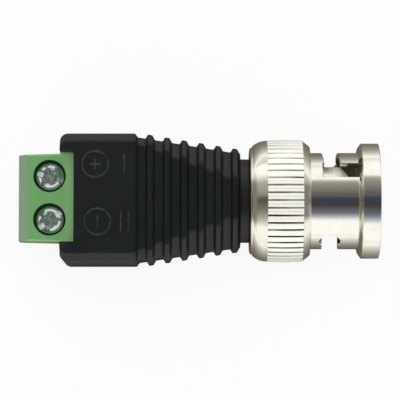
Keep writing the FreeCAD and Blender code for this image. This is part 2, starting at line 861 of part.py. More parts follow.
def links():
    """The insulated signal wire and the bare ground wire between the contacts and the plug."""
    start = -contact_pin_end.value
    y = SIZES["screw_pitch"] / 2
    z = contact_pin_middle.value
    stub = SIZES["link_stub"]
    radius = SIZES["link_radius"]
    cup_end = -cup_back.value
    signal_end = cup_end + SIZES["cup_hole_depth"] - SIZES["fit_gap"]
    signal = [
        FreeCAD.Vector(start, y, z),
        FreeCAD.Vector(start + stub, y, z),
        FreeCAD.Vector(cup_end - stub, 0, 0),
        FreeCAD.Vector(signal_end, 0, 0),
    ]
    swept_round("signal_link", signal, radius, SIZES["link_bend"])
    rim = (tail_radius + insulator_radius + d.fit_gap).value / 2
    ground_end = -tail_back.value
    ground = [
        FreeCAD.Vector(start, -y, z),
        FreeCAD.Vector(start + stub, -y, z),
        FreeCAD.Vector(ground_end - stub, -rim, 0),
        FreeCAD.Vector(ground_end, -rim, 0),
    ]
    swept_round("ground_link", ground, radius, SIZES["link_bend"])

    run = signal[2] - signal[1]
    heading = FreeCAD.Vector(run).normalize()
    foot = signal[1] + heading * stub
    length = run.Length - 2 * stub
    inner = radius + SIZES["fit_gap"]
    outside = Part.makeCylinder(inner + SIZES["tubing_thickness"], length, foot, heading)
    made = doc.addObject("Part::Feature", "link_tubing")
    made.Label = "link_tubing"
    made.Shape = outside.cut(Part.makeCylinder(inner, length, foot, heading))


housing()
terminal_body()
for number, side in (("1", d.screw_pitch / 2), ("2", -d.screw_pitch / 2)):
    clamp_screw(number, side)
    clamp_cage(number, side)
    contact(number, side)
coupling_nut()
plug_body()
insulators()
centre_pin()
nut_rings()
wave_washers()
links()
doc.recompute()

NODES = [
    "housing", "terminal_body", "screw_1", "screw_2", "cage_1", "cage_2", "contact_1", "contact_2",
    "coupling_nut", "plug_body", "insulator", "rear_insulator", "centre_pin", "gasket",
    "retaining_washer", "thrust_washer", "wave_washer_1", "wave_washer_2",
    "signal_link", "link_tubing", "ground_link",
]

for thing in doc.Objects:
    if "Invalid" in thing.State or "Error" in thing.State:
        raise RuntimeError("%s did not rebuild: %s" % (thing.Name, thing.State))

os.makedirs("parts", exist_ok=True)
for name in NODES:
    shape = doc.getObjectsByLabel(name)[0].Shape
    if shape.isNull() or not shape.isValid() or len(shape.Solids) != 1:
        raise RuntimeError("%s is not one sound solid" % name)
    shape.exportStep("parts/%s.step" % name)
    print("%s %.3f mm3" % (name, shape.Volume))
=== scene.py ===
"""The look of a BNC plug with a two-way screw terminal block: its pieces, finishes, light and camera.

Places and sizes are in millimetres until a mesh is made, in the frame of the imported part:
+X runs out of the plug's mouth, +Z is the way the clamp screws face.
"""
import math

import bmesh
import bpy
from mathutils import Matrix, Vector


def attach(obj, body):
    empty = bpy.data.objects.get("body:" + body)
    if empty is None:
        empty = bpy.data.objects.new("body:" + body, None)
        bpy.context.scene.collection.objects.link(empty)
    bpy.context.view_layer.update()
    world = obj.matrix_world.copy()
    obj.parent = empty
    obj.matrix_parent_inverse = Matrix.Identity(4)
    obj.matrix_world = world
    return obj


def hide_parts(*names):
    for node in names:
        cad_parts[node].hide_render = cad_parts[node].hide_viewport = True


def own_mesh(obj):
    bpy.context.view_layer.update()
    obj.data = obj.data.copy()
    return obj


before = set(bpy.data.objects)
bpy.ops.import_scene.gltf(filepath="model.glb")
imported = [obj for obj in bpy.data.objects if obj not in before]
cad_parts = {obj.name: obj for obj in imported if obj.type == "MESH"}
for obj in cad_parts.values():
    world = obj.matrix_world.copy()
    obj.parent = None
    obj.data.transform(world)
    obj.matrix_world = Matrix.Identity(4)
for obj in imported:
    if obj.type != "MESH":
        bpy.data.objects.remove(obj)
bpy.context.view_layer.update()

MM = 0.001
FULL_TURN = 2 * math.pi
SQUARE_SIGNS = ((-1, -1), (1, -1), (1, 1), (-1, 1))

# Distances back from the plug's mouth, and radii, of the nut and of what it turns on
FLANGE_BACK = 2.1
FLANGE_SLOPE_BACK = 2.5
GRIP_FRONT = 8.15
KNURL_FRONT = 9.0
KNURL_BACK = 13.2
SHOULDER_FLAT_BACK = 13.4
SHOULDER_BACK = 14.93
LIP_GROOVE = 0.1
NUT_BACK = 15.3
FLANGE_RADIUS = 6.82
FLANGE_SLOPE_RADIUS = 6.22
SLEEVE_RADIUS = 5.7
SLEEVE_BORE = 4.9
MOUTH_BORE = 5.1
MOUTH_DEPTH = 2.4
GRIP_FACE_RADIUS = 6.45
BEVEL_END_RADIUS = 7.12
KNURL_RADIUS = 7.25
KNURL_BARREL = 0.05
KNURL_COUNT = 50
KNURL_CROWN = 0.07
KNURL_GROOVE = 0.1
KNURL_END = 0.03
SHOULDER_RADIUS = 7.17
SHOULDER_FLAT_RADIUS = 7.145
SHOULDER_END_RADIUS = 6.5
SHOULDER_ROUND = 2.5
LIP_RADIUS = 6.38
LIP_END_RADIUS = 5.92
LIP_ROUND = 0.5
RIM_OPENING = 5.24
RIM_INSIDE = 14.95
CAVITY_RADIUS = 6.0
CAVITY_FRONT = 11.55
INSULATOR_FRONT = 9.5
BODY_FLANGE_FRONT = 11.6
PIN_COLLAR_FRONT = 15.2
TAIL_RADIUS = 3.58
TAIL_BACK = 22.0

# Where the grip's ridges have their edges, as shares of the way from one groove to the next
LAND_SPOTS = (0.0, 0.04, 0.09, 0.15, 0.25, 0.36, 0.46, 0.54, 0.64, 0.75, 0.85, 0.91, 0.96)

# The two bayonet tracks, whose angles turn from +Y towards +Z
LUG_WIDTH = 2.1
LUG_ANGLE = 54.0
LUG_STOP = 6.7
LUG_GROOVE_RADIUS = 5.65
RAMP_START = 5.53
RAMP_WIDTH = 1.85
RAMP_BOW = -0.6
LOCK_DEPTH = 5.88
LOCK_ANGLE = -28.0
LOCK_RADIUS = 1.2
EDGE_FLARE = 0.08

# The terminal block and its clamps
BLOCK_BACK = 42.3
LEDGE = 32.0
BLOCK_HALF_WIDTH = 5.15
BLOCK_BACK_HALF_WIDTH = 5.02
FOOT_HALF_WIDTH = 4.75
STEP_LEVEL = 1.3
NOTCH_LEDGE = 0.2
BLOCK_TOP = 5.1
BLOCK_BOTTOM = -5.0
BLOCK_BEVEL = 1.0
SCREW_X = -38.66
SCREW_Y = 2.54
ROOM_BACK = 40.5
ROOM_HALF_WIDTH = 1.9
ROOM_BOTTOM = -4.4
SHELF_BOTTOM = 1.88
POCKET_FLOOR = 3.18
POCKET_RADIUS = 1.9
ENTRY_HALF_WIDTH = 1.6
ENTRY_BOTTOM = -4.15
ENTRY_TOP = -1.45
HEAD_TOP = 4.2
HEAD_HEIGHT = 1.0
HEAD_RADIUS = 1.6
SCREW_TIP = -1.15
THREAD_RADIUS = 1.25
THREAD_PITCH = 0.5
THREAD_DEPTH = 0.19
DISH_DEPTH = 0.13
SLOT_DEPTH = 0.45
SLOT_END_DEPTH = 0.66
SLOT_HALF_WIDTH = 0.31
ARM_HALF_WIDTH = 0.25
ARM_REACH = 1.05
SLOT_TURNS = {"1": -15.0, "2": 36.0}

# The housing
HOUSING_BACK = 37.46
NOTCH_DEPTH = 1.66
BOX_FRONT = 28.5
BOX_HALF_WIDTH = 7.5
BOX_HALF_HEIGHT = 6.5
BOX_CHAMFER = 0.95
BACK_CORNER = 0.95
BACK_EDGE = 0.3
FRONT_EDGE = 0.3
RIB_COUNT = 6
RIB_PITCH = 1.99
FRONT_RIB = 16.97
RIB_BASE = 1.24
RIB_TOP = 0.4
RIB_HEIGHT = 0.48
STEP_LENGTH = 0.25
CHAMBER_FRONT = 22.3
CHAMBER_HALF = 4.2
NECK_FRONT = 15.0
NECK_RADIUS = 4.95
NECK_ROUND = 0.45
MARK_HEIGHT = 0.12

# Half width, half height and chamfer of the nose at its front and back ribs
NOSE_FRONT = (6.05, 5.9, 3.4)
NOSE_BACK = (7.37, 6.4, 1.15)

# The camera and the floor, from the photograph; the floor touches the nut's middle
CAMERA_TILT = math.radians(4.7)
CAMERA_DISTANCE = 320.0
CAMERA_LENS = 243.0
CAMERA_TARGET = (-21.1, 0.14, 0.0)
FLOOR_TILT = math.radians(1.63)
FLOOR_HALF_SIZE = 1500.0
NUT_MIDDLE = 11.1


# Node trees, for finishes, light and repeated shapes

def maths(operation, reflected=False):
    """A method of Wire that adds a Math node; reflected puts the wire's own value last."""
    def method(wire, *others):
        values = (*others, wire) if reflected else (wire, *others)
        return wire.graph.node("ShaderNodeMath", {"operation": operation}, dict(enumerate(values)))[0]
    return method


class Wire:
    """A node's output that takes part in Python arithmetic."""

    def __init__(self, graph, socket):
        self.graph = graph
        self.socket = socket

    __add__ = __radd__ = maths("ADD")
    __mul__ = __rmul__ = maths("MULTIPLY")
    __sub__ = maths("SUBTRACT")
    __rsub__ = maths("SUBTRACT", reflected=True)
    __truediv__ = maths("DIVIDE")
    __rtruediv__ = maths("DIVIDE", reflected=True)
    fraction = maths("FRACT")
    nearest = maths("ROUND")
    size = maths("ABSOLUTE")
    least = maths("MINIMUM")
    greatest = maths("MAXIMUM")
    power = maths("POWER")
    arctan = maths("ARCTAN2")

    def hypotenuse(self, other):
        return (self * self + other * other).power(0.5)

    def between(self, low, high, smooth=False):
        """0 below low, 1 above high, and even or smooth in between."""
        kind = "SMOOTHSTEP" if smooth else "LINEAR"
        inputs = {"Value": self, "From Min": low, "From Max": high}
        return self.graph.node("ShaderNodeMapRange", {"interpolation_type": kind}, inputs)["Result"]


class Outputs:
    """A node's outputs, by name or number."""

    def __init__(self, graph, made):
        self.graph = graph
        self.made = made

    def __getitem__(self, key):
        return Wire(self.graph, self.made.outputs[key])


class Graph:
    """A node tree that is written as calls, one for each node."""

    def __init__(self, tree):
        self.tree = tree
        tree.nodes.clear()

    def feed(self, socket, value):
        if isinstance(value, Wire):
            self.tree.links.new(value.socket, socket)
        elif isinstance(value, tuple) and socket.type == "RGBA":
            socket.default_value = (*value[:3], 1.0)
        else:
            socket.default_value = value

    def node(self, kind, settings=None, inputs=None):
        made = self.tree.nodes.new(kind)
        for name, value in (settings or {}).items():
            if name == "stops":
                self.set_stops(made.color_ramp, value)
            else:
                setattr(made, name, value)
        for key, value in (inputs or {}).items():
            self.feed(made.inputs[key], value)
        return Outputs(self, made)

    def set_stops(self, ramp, stops):
        while len(ramp.elements) < len(stops):
            ramp.elements.new(0.5)
        for element, (place, colour) in zip(ramp.elements, stops):
            element.position = place
            element.color = (*colour, 1.0)

    def mix(self, share, first, second):
        """A colour that goes from the first to the second as share goes from 0 to 1."""
        return self.node("ShaderNodeMix", {"data_type": "RGBA"}, {0: share, 6: first, 7: second})[2]

    def painted(self, tint, *coats):
        """The tint under coats, each with its share and its screen colour."""
        for share, tone in coats:
            tint = self.mix(share, tint, colour(*tone))
        return tint

    def vector(self, operation, *values, output=0):
        return self.node("ShaderNodeVectorMath", {"operation": operation}, dict(enumerate(values)))[output]

    def length(self, place):
        return self.vector("LENGTH", place, output="Value")

    def split(self, place):
        return self.node("ShaderNodeSeparateXYZ", None, {0: place})

    def ramp(self, share, stops):
        return self.node("ShaderNodeValToRGB", {"stops": stops}, {0: share})["Color"]


def colour(red, green, blue):
    """A screen colour from 0 to 255 as the linear colour that a shader takes."""
    levels = [level / 255 for level in (red, green, blue)]
    return tuple(v / 12.92 if v <= 0.04045 else ((v + 0.055) / 1.055) ** 2.4 for v in levels)


NICKEL = colour(226, 221, 210)


class Finish(Graph):
    """A material on Object coordinates, in millimetres."""

    def __init__(self, name, **constants):
        self.material = bpy.data.materials.new(name)
        self.material.use_nodes = True
        super().__init__(self.material.node_tree)
        self.shader = self.node("ShaderNodeBsdfPrincipled")
        self.node("ShaderNodeOutputMaterial", None, {0: self.shader[0]})
        self.set(**constants)
        place = self.node("ShaderNodeTexCoord")["Object"]
        self.place = self.vector("MULTIPLY", place, (1 / MM,) * 3)
        self.parts = self.split(self.place)

    def set(self, **values):
        """Feed the shader's sockets, whose names are given with _ for a space; returns the material."""
        for socket, value in values.items():
            self.feed(self.shader.made.inputs[socket.replace("_", " ")], value)
        return self.material

    def noise(self, scale, detail=2.0, stretch=None, roughness=0.5):
        """Noise with scale lumps to the millimetre, about 0 to 1."""
        place = self.vector("MULTIPLY", self.place, stretch) if stretch else self.place
        inputs = {"Vector": place, "Scale": scale, "Detail": detail, "Roughness": roughness}
        return self.node("ShaderNodeTexNoise", None, inputs)["Fac"]

    def cells(self, scale):
        """Distance to the nearest of scattered points, scale of them to the millimetre."""
        return self.node("ShaderNodeTexVoronoi", None, {"Vector": self.place, "Scale": scale})["Distance"]

    def from_screw(self):
        """Distance from the axis of the nearer clamp screw."""
        return (self.parts["X"] - SCREW_X).hypotenuse(self.parts["Y"].size() - SCREW_Y)

    def bump(self, height, microns, strength=1.0):
        inputs = {"Height": height, "Distance": microns * MM * MM, "Strength": strength}
        self.set(Normal=self.node("ShaderNodeBump", None, inputs)["Normal"])


def moulded_surface(made, base, deep, light, roughness):
    """Moulded plastic: spark-eroded grain, cloudy flow marks and a few rubbed specks."""
    flow = made.noise(0.28, 3.0, (1.0, 0.6, 0.6)).between(0.3, 0.7)
    grain = made.noise(7.0, 2.0)
    fine = made.noise(19.0, 1.0)
    rubbed = made.cells(0.7).between(0.045, 0.02) * made.noise(1.3, 2.0).between(0.55, 0.62)
    made.set(Roughness=(flow * 0.06 + grain * 0.1 + (roughness - 0.08)).greatest(0.05))
    made.bump(grain * 0.7 + fine * 0.3, 7.0, 0.5)
    return made.mix(rubbed * 0.4, made.mix(flow, deep, base), light)


def black_moulding():
    """The housing's satin black, greyer on top of its raised marks, where rubbing and a painted highlight
    lighten them.
    """
    made = Finish("black_moulding", IOR=1.5, Specular_IOR_Level=0.3)
    tint = moulded_surface(made, colour(22, 27, 26), colour(18, 23, 22), colour(70, 74, 73), 0.4)
    # Partly rubbing, partly a painted highlight: the tops of the raised marks are lighter.
    worn = made.parts["Z"].between(BOX_HALF_HEIGHT + 0.03, BOX_HALF_HEIGHT + 0.1)
    worn = worn * (made.noise(1.2, 2.0).between(0.35, 0.6) * 0.7 + 0.3)
    neck = made.parts["X"].between(0.5 - FRONT_RIB, 0.9 - FRONT_RIB)
    return made.set(Base_Color=made.painted(tint, (worn, (48, 54, 53)), (neck, (33, 32, 30))))


def green_moulding():
    """The block's green, with painted light: a greyer sheen on its rear bevel, highlights along its top
    edges, light beside the housing's walls and shade in its screw wells.
    """
    made = Finish("green_moulding", IOR=1.5, Specular_IOR_Level=0.3)
    tint = moulded_surface(made, colour(110, 162, 102), colour(104, 155, 96), colour(140, 178, 132), 0.46)
    depth = made.parts["X"] * -1
    from_middle = made.parts["Y"].size()
    height = made.parts["Z"]
    # Painted light: the block's top is lightened next to the housing's walls, to offset the shade those walls
    # cast.
    notch = depth.between(HOUSING_BACK + 0.2, HOUSING_BACK - 0.3) * height.between(4.9, 5.0)
    painted_light_by_wall = depth.between(HOUSING_BACK - 0.3, HOUSING_BACK - NOTCH_DEPTH)
    painted_light_by_wall = painted_light_by_wall.greatest(from_middle.between(BLOCK_HALF_WIDTH - 1.0, BLOCK_HALF_WIDTH))
    narrowing = (BLOCK_BACK - depth).between(0.0, BLOCK_BACK - HOUSING_BACK)
    side = narrowing * (BLOCK_HALF_WIDTH - BLOCK_BACK_HALF_WIDTH) + BLOCK_BACK_HALF_WIDTH
    # Painted highlight: a paler line along the block's top edges.
    edge = (from_middle - side).between(-0.24, -0.14) * height.between(4.8, 4.9)
    # Painted reflection: a greyer, uneven sheen on the rear bevel.
    plane = BLOCK_BACK - BLOCK_BEVEL + BLOCK_TOP
    slope = (height + depth).between(plane - 0.08, plane - 0.02)
    slope = slope * (made.noise(0.5, 2.0).between(0.3, 0.6) * 0.3 + 0.7)
    # Painted shade: darker green on the walls of the screw wells.
    well = made.from_screw().between(POCKET_RADIUS + 0.03, POCKET_RADIUS + 0.01) * height.between(5.08, 5.0)
    tint = made.painted(tint, (notch * painted_light_by_wall * 0.8, (142, 190, 132)), (edge * 0.7, (164, 190, 140)),
                        (slope, (134, 152, 128)), (well, (40, 86, 48)))
    return made.set(Base_Color=tint)


def turned_surface(made, base, dull, roughness):
    """The fine rings of a lathe about the X axis and a few dull spots; returns their colour and roughness."""
    rings = made.noise(1.0, 3.0, (12.0, 0.3, 0.3), 0.7)
    haze = made.noise(0.7, 3.0).between(0.4, 0.8)
    pits = made.cells(2.2).between(0.1, 0.04) * made.noise(3.1, 1.0).between(0.56, 0.66)
    made.bump(rings * 0.8 + pits * -0.6, 1.0, 0.5)
    rough = haze * 0.05 + rings * 0.05 + pits * 0.2 + (roughness - 0.04)
    return made.mix(haze * 0.2 + pits * 0.6, base, dull), rough


def turned_metal(name, base, dull, roughness):
    """Plated or bare metal, as it comes from the lathe."""
    made = Finish(name, Metallic=1.0)
    tint, rough = turned_surface(made, base, dull, roughness)
    return made.set(Base_Color=tint, Roughness=rough)


def from_land_middle(parts, count):
    """How far round the grip a place lies: 0 at the middle of a ridge, 1 at the middle of a groove."""
    turn = parts["Z"].arctan(parts["Y"]) / FULL_TURN
    return ((turn * count).fraction() - 0.5).size() * 2


def nut_plate():
    """The nut's nickel: bright outside, frosted white on its grip, with painted shade in its grooves,
    stronger towards -Y, and in its bore.
    """
    made = Finish("nut_plate")
    tint, rough = turned_surface(made, NICKEL, colour(190, 184, 172), 0.13)
    depth = made.parts["X"] * -1
    away = from_land_middle(made.parts, KNURL_COUNT)
    radius = made.length(made.vector("MULTIPLY", made.place, (0.0, 1.0, 1.0)))
    grip = depth.between(KNURL_FRONT - 0.02, KNURL_FRONT + 0.04)
    grip = grip * depth.between(KNURL_BACK + 0.02, KNURL_BACK - 0.04)
    grip = grip * radius.between(KNURL_RADIUS - 0.65, KNURL_RADIUS - 0.45)
    uneven = made.noise(0.6, 2.0, (0.4, 1.0, 1.0)).between(0.35, 0.65) * 0.45
    # Painted shade in the grooves between the lands, stronger towards -Y and uneven along them.
    groove_shade = away.between(0.68, 0.8) * grip * (made.parts["Y"].between(7.0, -1.0) * 0.65 + uneven)
    # Painted shade: the bore and the slot walls inside the sleeve are darker and duller.
    inside = radius.between(MOUTH_BORE + 0.08, MOUTH_BORE + 0.02)
    slot_wall = radius.between(SLEEVE_RADIUS - 0.15, SLEEVE_RADIUS - 0.35) * depth.between(4.0, 3.7)
    bore = inside.greatest(slot_wall) * depth.between(1.0, 1.8)
    bare = depth.between(FLANGE_BACK + 0.1, FLANGE_BACK + 0.04)
    bare = bare * radius.between(SLEEVE_RADIUS - 0.02, SLEEVE_RADIUS + 0.04)
    bare = bare * radius.between(FLANGE_RADIUS - 0.2, FLANGE_RADIUS - 0.26)
    crest = away.between(0.16, 0.04) * grip
    tint = made.painted(tint, (grip, (255, 252, 244)), (groove_shade, (62, 52, 42)), (bore, (88, 82, 60)),
                        (bare, (188, 172, 96)))
    metal = 1 - grip * 0.85 + crest * 0.35 - bare * 0.5
    rough = rough + grip * 0.3 + (bore + bare) * 0.35 - crest * 0.2
    return made.set(Base_Color=tint, Metallic=metal, Roughness=rough)


def ferrule_plate():
    """The outer contact's nickel, worn satin on its nose, where a socket slides over it."""
    made = Finish("ferrule_plate")
    tint, rough = turned_surface(made, NICKEL, colour(190, 184, 172), 0.13)
    nose = (made.parts["X"] * -1).between(6.3, 4.9)
    tint = made.mix(nose, tint, colour(255, 250, 234))
    return made.set(Base_Color=tint, Metallic=1 - nose * 0.9, Roughness=rough + nose * 0.25)


def zinc_screw():
    """Zinc plate with painted glints round the head's edge and at the slot's ends, a painted green reflection
    on the head's outer slope, dull and scuffed between.
    """
    made = Finish("zinc_screw")
    radius = made.from_screw()
    height = made.parts["Z"]
    scuffs = made.noise(2.2, 3.0, (1.0, 3.0, 1.0), 0.6)
    dents = made.noise(1.7, 2.0)
    cloud = made.noise(1.4, 3.0).between(0.35, 0.7)
    streaks = made.noise(2.0, 2.0, (2.6, 0.8, 1.0)).between(0.52, 0.6)
    head = height.between(HEAD_TOP - HEAD_HEIGHT - 0.02, HEAD_TOP - HEAD_HEIGHT + 0.02)
    # Painted glints: near-white patches round the rim and at the slot's ends, left out at one end of the
    # first screw's slot.
    rim = radius.between(1.0, 1.06) * radius.between(1.4, 1.32) * made.noise(1.15, 1.0).between(0.42, 0.47)
    rim = rim * height.between(HEAD_TOP - 0.2, HEAD_TOP - 0.12)
    ends = radius.between(0.8, 0.9) * radius.between(1.6, 1.57)
    unglinted_end = made.parts["Y"].between(0.0, 0.1) * (made.parts["X"] - SCREW_X).between(0.5, 0.7)
    ends = ends * height.between(HEAD_TOP - 0.4, HEAD_TOP - 0.44) * head * (1 - unglinted_end * 0.75)
    bright = rim.greatest(ends)
    # Painted reflection: the green of the wells on the head's outer slope.
    outside = radius.between(1.34, 1.42)
    face = made.mix(cloud, colour(134, 154, 142), colour(104, 122, 116))
    face = made.painted(face, (streaks * 0.5, (196, 210, 202)), (outside * 0.8, (150, 188, 160)),
                        (bright, (250, 255, 250)))
    made.bump(scuffs * 0.4 + dents * 0.6, 40.0, 0.8)
    metal = 1 - head * (bright.greatest(outside) * 0.45 + 0.5)
    rough = cloud * 0.1 + scuffs * 0.12 + head * 0.08 + 0.14
    return made.set(Base_Color=made.mix(head, colour(206, 212, 210), face), Metallic=metal, Roughness=rough)


def clamp_metal():
    """Tumbled nickel-plated brass of the clamps, with a yellow cast in its worn places."""
    made = Finish("clamp_metal", Metallic=1.0)
    worn = made.noise(1.1, 4.0).between(0.45, 0.7)
    dents = made.noise(5.0, 3.0)
    made.bump(dents, 12.0, 0.6)
    tint = made.mix(worn, colour(196, 192, 180), colour(176, 158, 116))
    return made.set(Base_Color=tint, Roughness=dents * 0.2 + worn * 0.1 + 0.2)


def tinned_metal(name, base, dull):
    """Tin that has frozen in soft ripples."""
    made = Finish(name, Metallic=1.0)
    ripple = made.noise(2.5, 2.0)
    cloud = made.noise(0.9, 3.0).between(0.4, 0.7)
    made.bump(ripple, 20.0, 0.5)
    return made.set(Base_Color=made.mix(cloud, base, dull), Roughness=ripple * 0.2 + cloud * 0.1 + 0.2)


def soft_plastic(name, base, shade, roughness):
    """Plain insulating plastic or rubber with a light mottle and a satin grain."""
    made = Finish(name)
    mottle = made.noise(0.9, 3.0).between(0.3, 0.7)
    grain = made.noise(11.0, 2.0)
    made.bump(grain, 6.0, 0.5)
    rough = mottle * 0.08 + grain * 0.1 + (roughness - 0.08)
    return made.set(Base_Color=made.mix(mottle, base, shade), Roughness=rough)


FINISHES = {
    "black_moulding": black_moulding(),
    "green_moulding": green_moulding(),
    "nut_plate": nut_plate(),
    "ferrule_plate": ferrule_plate(),
    "zinc_screw": zinc_screw(),
    "clamp_metal": clamp_metal(),
}
for kind, name, base_tone, other_tone, *roughness in (
    (turned_metal, "gold_plate", (232, 190, 112), (190, 148, 80), 0.22),
    (turned_metal, "spring_steel", (182, 182, 184), (140, 140, 142), 0.3),
    (tinned_metal, "tinned_contact", (206, 206, 200), (172, 172, 166)),
    (tinned_metal, "bare_wire", (200, 198, 190), (168, 164, 154)),
    (soft_plastic, "white_insulator", (232, 230, 222), (220, 217, 206), 0.4),
    (soft_plastic, "seal_rubber", (150, 58, 44), (126, 46, 36), 0.6),
    (soft_plastic, "wire_tubing", (40, 42, 46), (30, 31, 34), 0.5),
):
    FINISHES[name] = kind(name, colour(*base_tone), colour(*other_tone), *roughness)


# Meshes

def new_object(name, mesh):
    made = bpy.data.objects.new(name, mesh)
    bpy.context.scene.collection.objects.link(made)
    return made


def object_from(name, form, merge=True):
    """An object from a bmesh in millimetres, with its faces turned outwards."""
    if merge:
        bmesh.ops.remove_doubles(form, verts=form.verts, dist=1e-5)
    bmesh.ops.recalc_face_normals(form, faces=form.faces)
    form.transform(Matrix.Scale(MM, 4))
    mesh = bpy.data.meshes.new(name)
    form.to_mesh(mesh)
    form.free()
    return new_object(name, mesh)


def baked(made):
    """The object with its modifiers worked into its mesh."""
    graph = bpy.context.evaluated_depsgraph_get()
    mesh = bpy.data.meshes.new_from_object(made.evaluated_get(graph))
    old = made.data
    made.modifiers.clear()
    made.data = mesh
    mesh.name = made.name
    bpy.data.meshes.remove(old)
    return made


def combined(made, cutters, operation="DIFFERENCE"):
    """The object after each cutter has been taken out of it or added to it."""
    for cutter in cutters:
        step = made.modifiers.new("boolean", "BOOLEAN")
        step.operation = operation
        step.solver = "EXACT"
        step.object = cutter
        baked(made)
        bpy.data.objects.remove(cutter)
    return made


def softened(made, width, angle=40.0, segments=2, crease=None):
    """The object with its sharp edges rounded by width, its faces evenly shaded and a crease at one depth."""
    if width:
        step = made.modifiers.new("edges", "BEVEL")
        step.width = width * MM
        step.segments = segments
        step.limit_method = "ANGLE"
        step.angle_limit = math.radians(angle)
        step.use_clamp_overlap = True
        baked(made)
    for face in made.data.polygons:
        face.use_smooth = True
    made.data.set_sharp_from_angle(angle=math.radians(angle))
    for edge in made.data.edges if crease else []:
        ends = [made.data.vertices[index].co.x / MM for index in edge.vertices]
        if max(abs(end + crease) for end in ends) < 0.001:
            edge.use_edge_sharp = True
    step = made.modifiers.new("shading", "WEIGHTED_NORMAL")
    step.keep_sharp = True
    return baked(made)


def dressed(made, body, finish, node):
    """Give a piece its finish and its body, and let it stand for its solid."""
    made.data.materials.clear()
    made.data.materials.append(FINISHES[finish])
    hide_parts(node)
    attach(made, body)


def swept(centre, start, sweep, steps):
    """Points from start round a centre, with both ends among them."""
    ways = [Matrix.Rotation(sweep * step / steps, 2) @ (start - centre) for step in range(steps + 1)]
    return [tuple(centre + way) for way in ways]


def rounded(corners, default, steps=4):
    """A closed outline with an arc at each corner; a corner's third number is its own radius."""
    outline = []
    count = len(corners)
    for index, corner in enumerate(corners):
        radius = corner[2] if len(corner) > 2 else default
        here = Vector(corner[:2])
        back = Vector(corners[index - 1][:2]) - here
        ahead = Vector(corners[(index + 1) % count][:2]) - here
        half = back.angle(ahead) / 2
        on_axis = corner[1] < 1e-9
        if radius <= 0 or on_axis or half > math.radians(88):
            outline.append(tuple(here))
            continue
        reach = min(radius / math.tan(half), back.length * 0.45, ahead.length * 0.45)
        true_radius = reach * math.tan(half)
        toward = (back.normalized() + ahead.normalized()).normalized()
        centre = here + toward * (true_radius / math.sin(half))
        side = 1 if back.cross(ahead) < 0 else -1
        outline += swept(centre, here + back.normalized() * reach, side * (math.pi - 2 * half), steps)
    return outline


def arc(start, end, radius, steps):
    """Points after start on the shorter arc to end that turns left, none of them to be rounded."""
    start = Vector(start)
    end = Vector(end)
    chord = end - start
    across = Vector((-chord.y, chord.x)).normalized()
    centre = (start + end) / 2 + across * math.sqrt(radius ** 2 - (chord.length / 2) ** 2)
    sweep = 2 * math.asin(chord.length / 2 / radius)
    return [(*point, 0.0) for point in swept(centre, start, sweep, steps)[1:]]


def turn_steps(steps):
    return [FULL_TURN * step / steps for step in range(steps)]


def lathe(name, outline, steps, axis="X"):
    """A closed outline of (along, radius) points turned about an axis; steps may be a list of turns."""
    turns = steps if isinstance(steps, list) else turn_steps(steps)
    count = len(turns)
    form = bmesh.new()
    rings = []
    for along, radius in outline:
        ring = []
        for turn in turns if radius > 1e-9 else [0.0]:
            across = (radius * math.cos(turn), radius * math.sin(turn))
            place = (along, *across) if axis == "X" else (*across, along)
            ring.append(form.verts.new(place))
        rings.append(ring)
    for index, ring in enumerate(rings):
        following = rings[(index + 1) % len(rings)]
        if len(ring) == len(following) == 1:
            continue
        for step in range(count):
            ahead = (step + 1) % count
            corners = [ring[step % len(ring)], ring[ahead % len(ring)],
                       following[ahead % len(following)], following[step % len(following)]]
            form.faces.new(list(dict.fromkeys(corners)))
    return object_from(name, form)


def lofted(name, rings, merge=True):
    """A solid through rings of places, each with as many points, closed at both ends."""
    form = bmesh.new()
    rows = [[form.verts.new(place) for place in ring] for ring in rings]
    for first, second in zip(rows, rows[1:]):
        for index in range(len(first)):
            ahead = (index + 1) % len(first)
            form.faces.new([first[index], first[ahead], second[ahead], second[index]])
    form.faces.new(rows[0])
    form.faces.new(rows[-1])
    return object_from(name, form, merge)


def prism(name, corners, low, high, axis="X"):
    """A straight solid whose outline stands across an axis; corners are given in the other two axes."""
    order = {"X": lambda a, b, c: (c, a, b), "Y": lambda a, b, c: (a, c, b), "Z": lambda a, b, c: (a, b, c)}
    return lofted(name, [[order[axis](a, b, c) for a, b in corners] for c in (low, high)])


def box(name, low, high):
    corners = [(low[0], low[1]), (high[0], low[1]), (high[0], high[1]), (low[0], high[1])]
    return prism(name, corners, low[2], high[2], "Z")


def circle(radius, centre=(0.0, 0.0), steps=96):
    x, y = centre
    return [(x + radius * math.cos(turn), y + radius * math.sin(turn)) for turn in turn_steps(steps)]


def turned(made, degrees, axis="X"):
    made.data.transform(Matrix.Rotation(math.radians(degrees), 4, axis))
    return made


def moved(made, x, y):
    made.data.transform(Matrix.Translation(Vector((x, y, 0.0)) * MM))
    return made


def from_solid(node, width):
    """A copy of a CAD solid, merged, with its flat faces whole again and its edges softened."""
    form = bmesh.new()
    form.from_mesh(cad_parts[node].data)
    bmesh.ops.remove_doubles(form, verts=form.verts, dist=1e-7)
    bmesh.ops.dissolve_limit(form, angle_limit=math.radians(1.0), verts=form.verts, edges=form.edges)
    mesh = bpy.data.meshes.new(node + "_look")
    form.to_mesh(mesh)
    form.free()
    return softened(new_object(mesh.name, mesh), width)


# Shapes that repeat, as Geometry Nodes

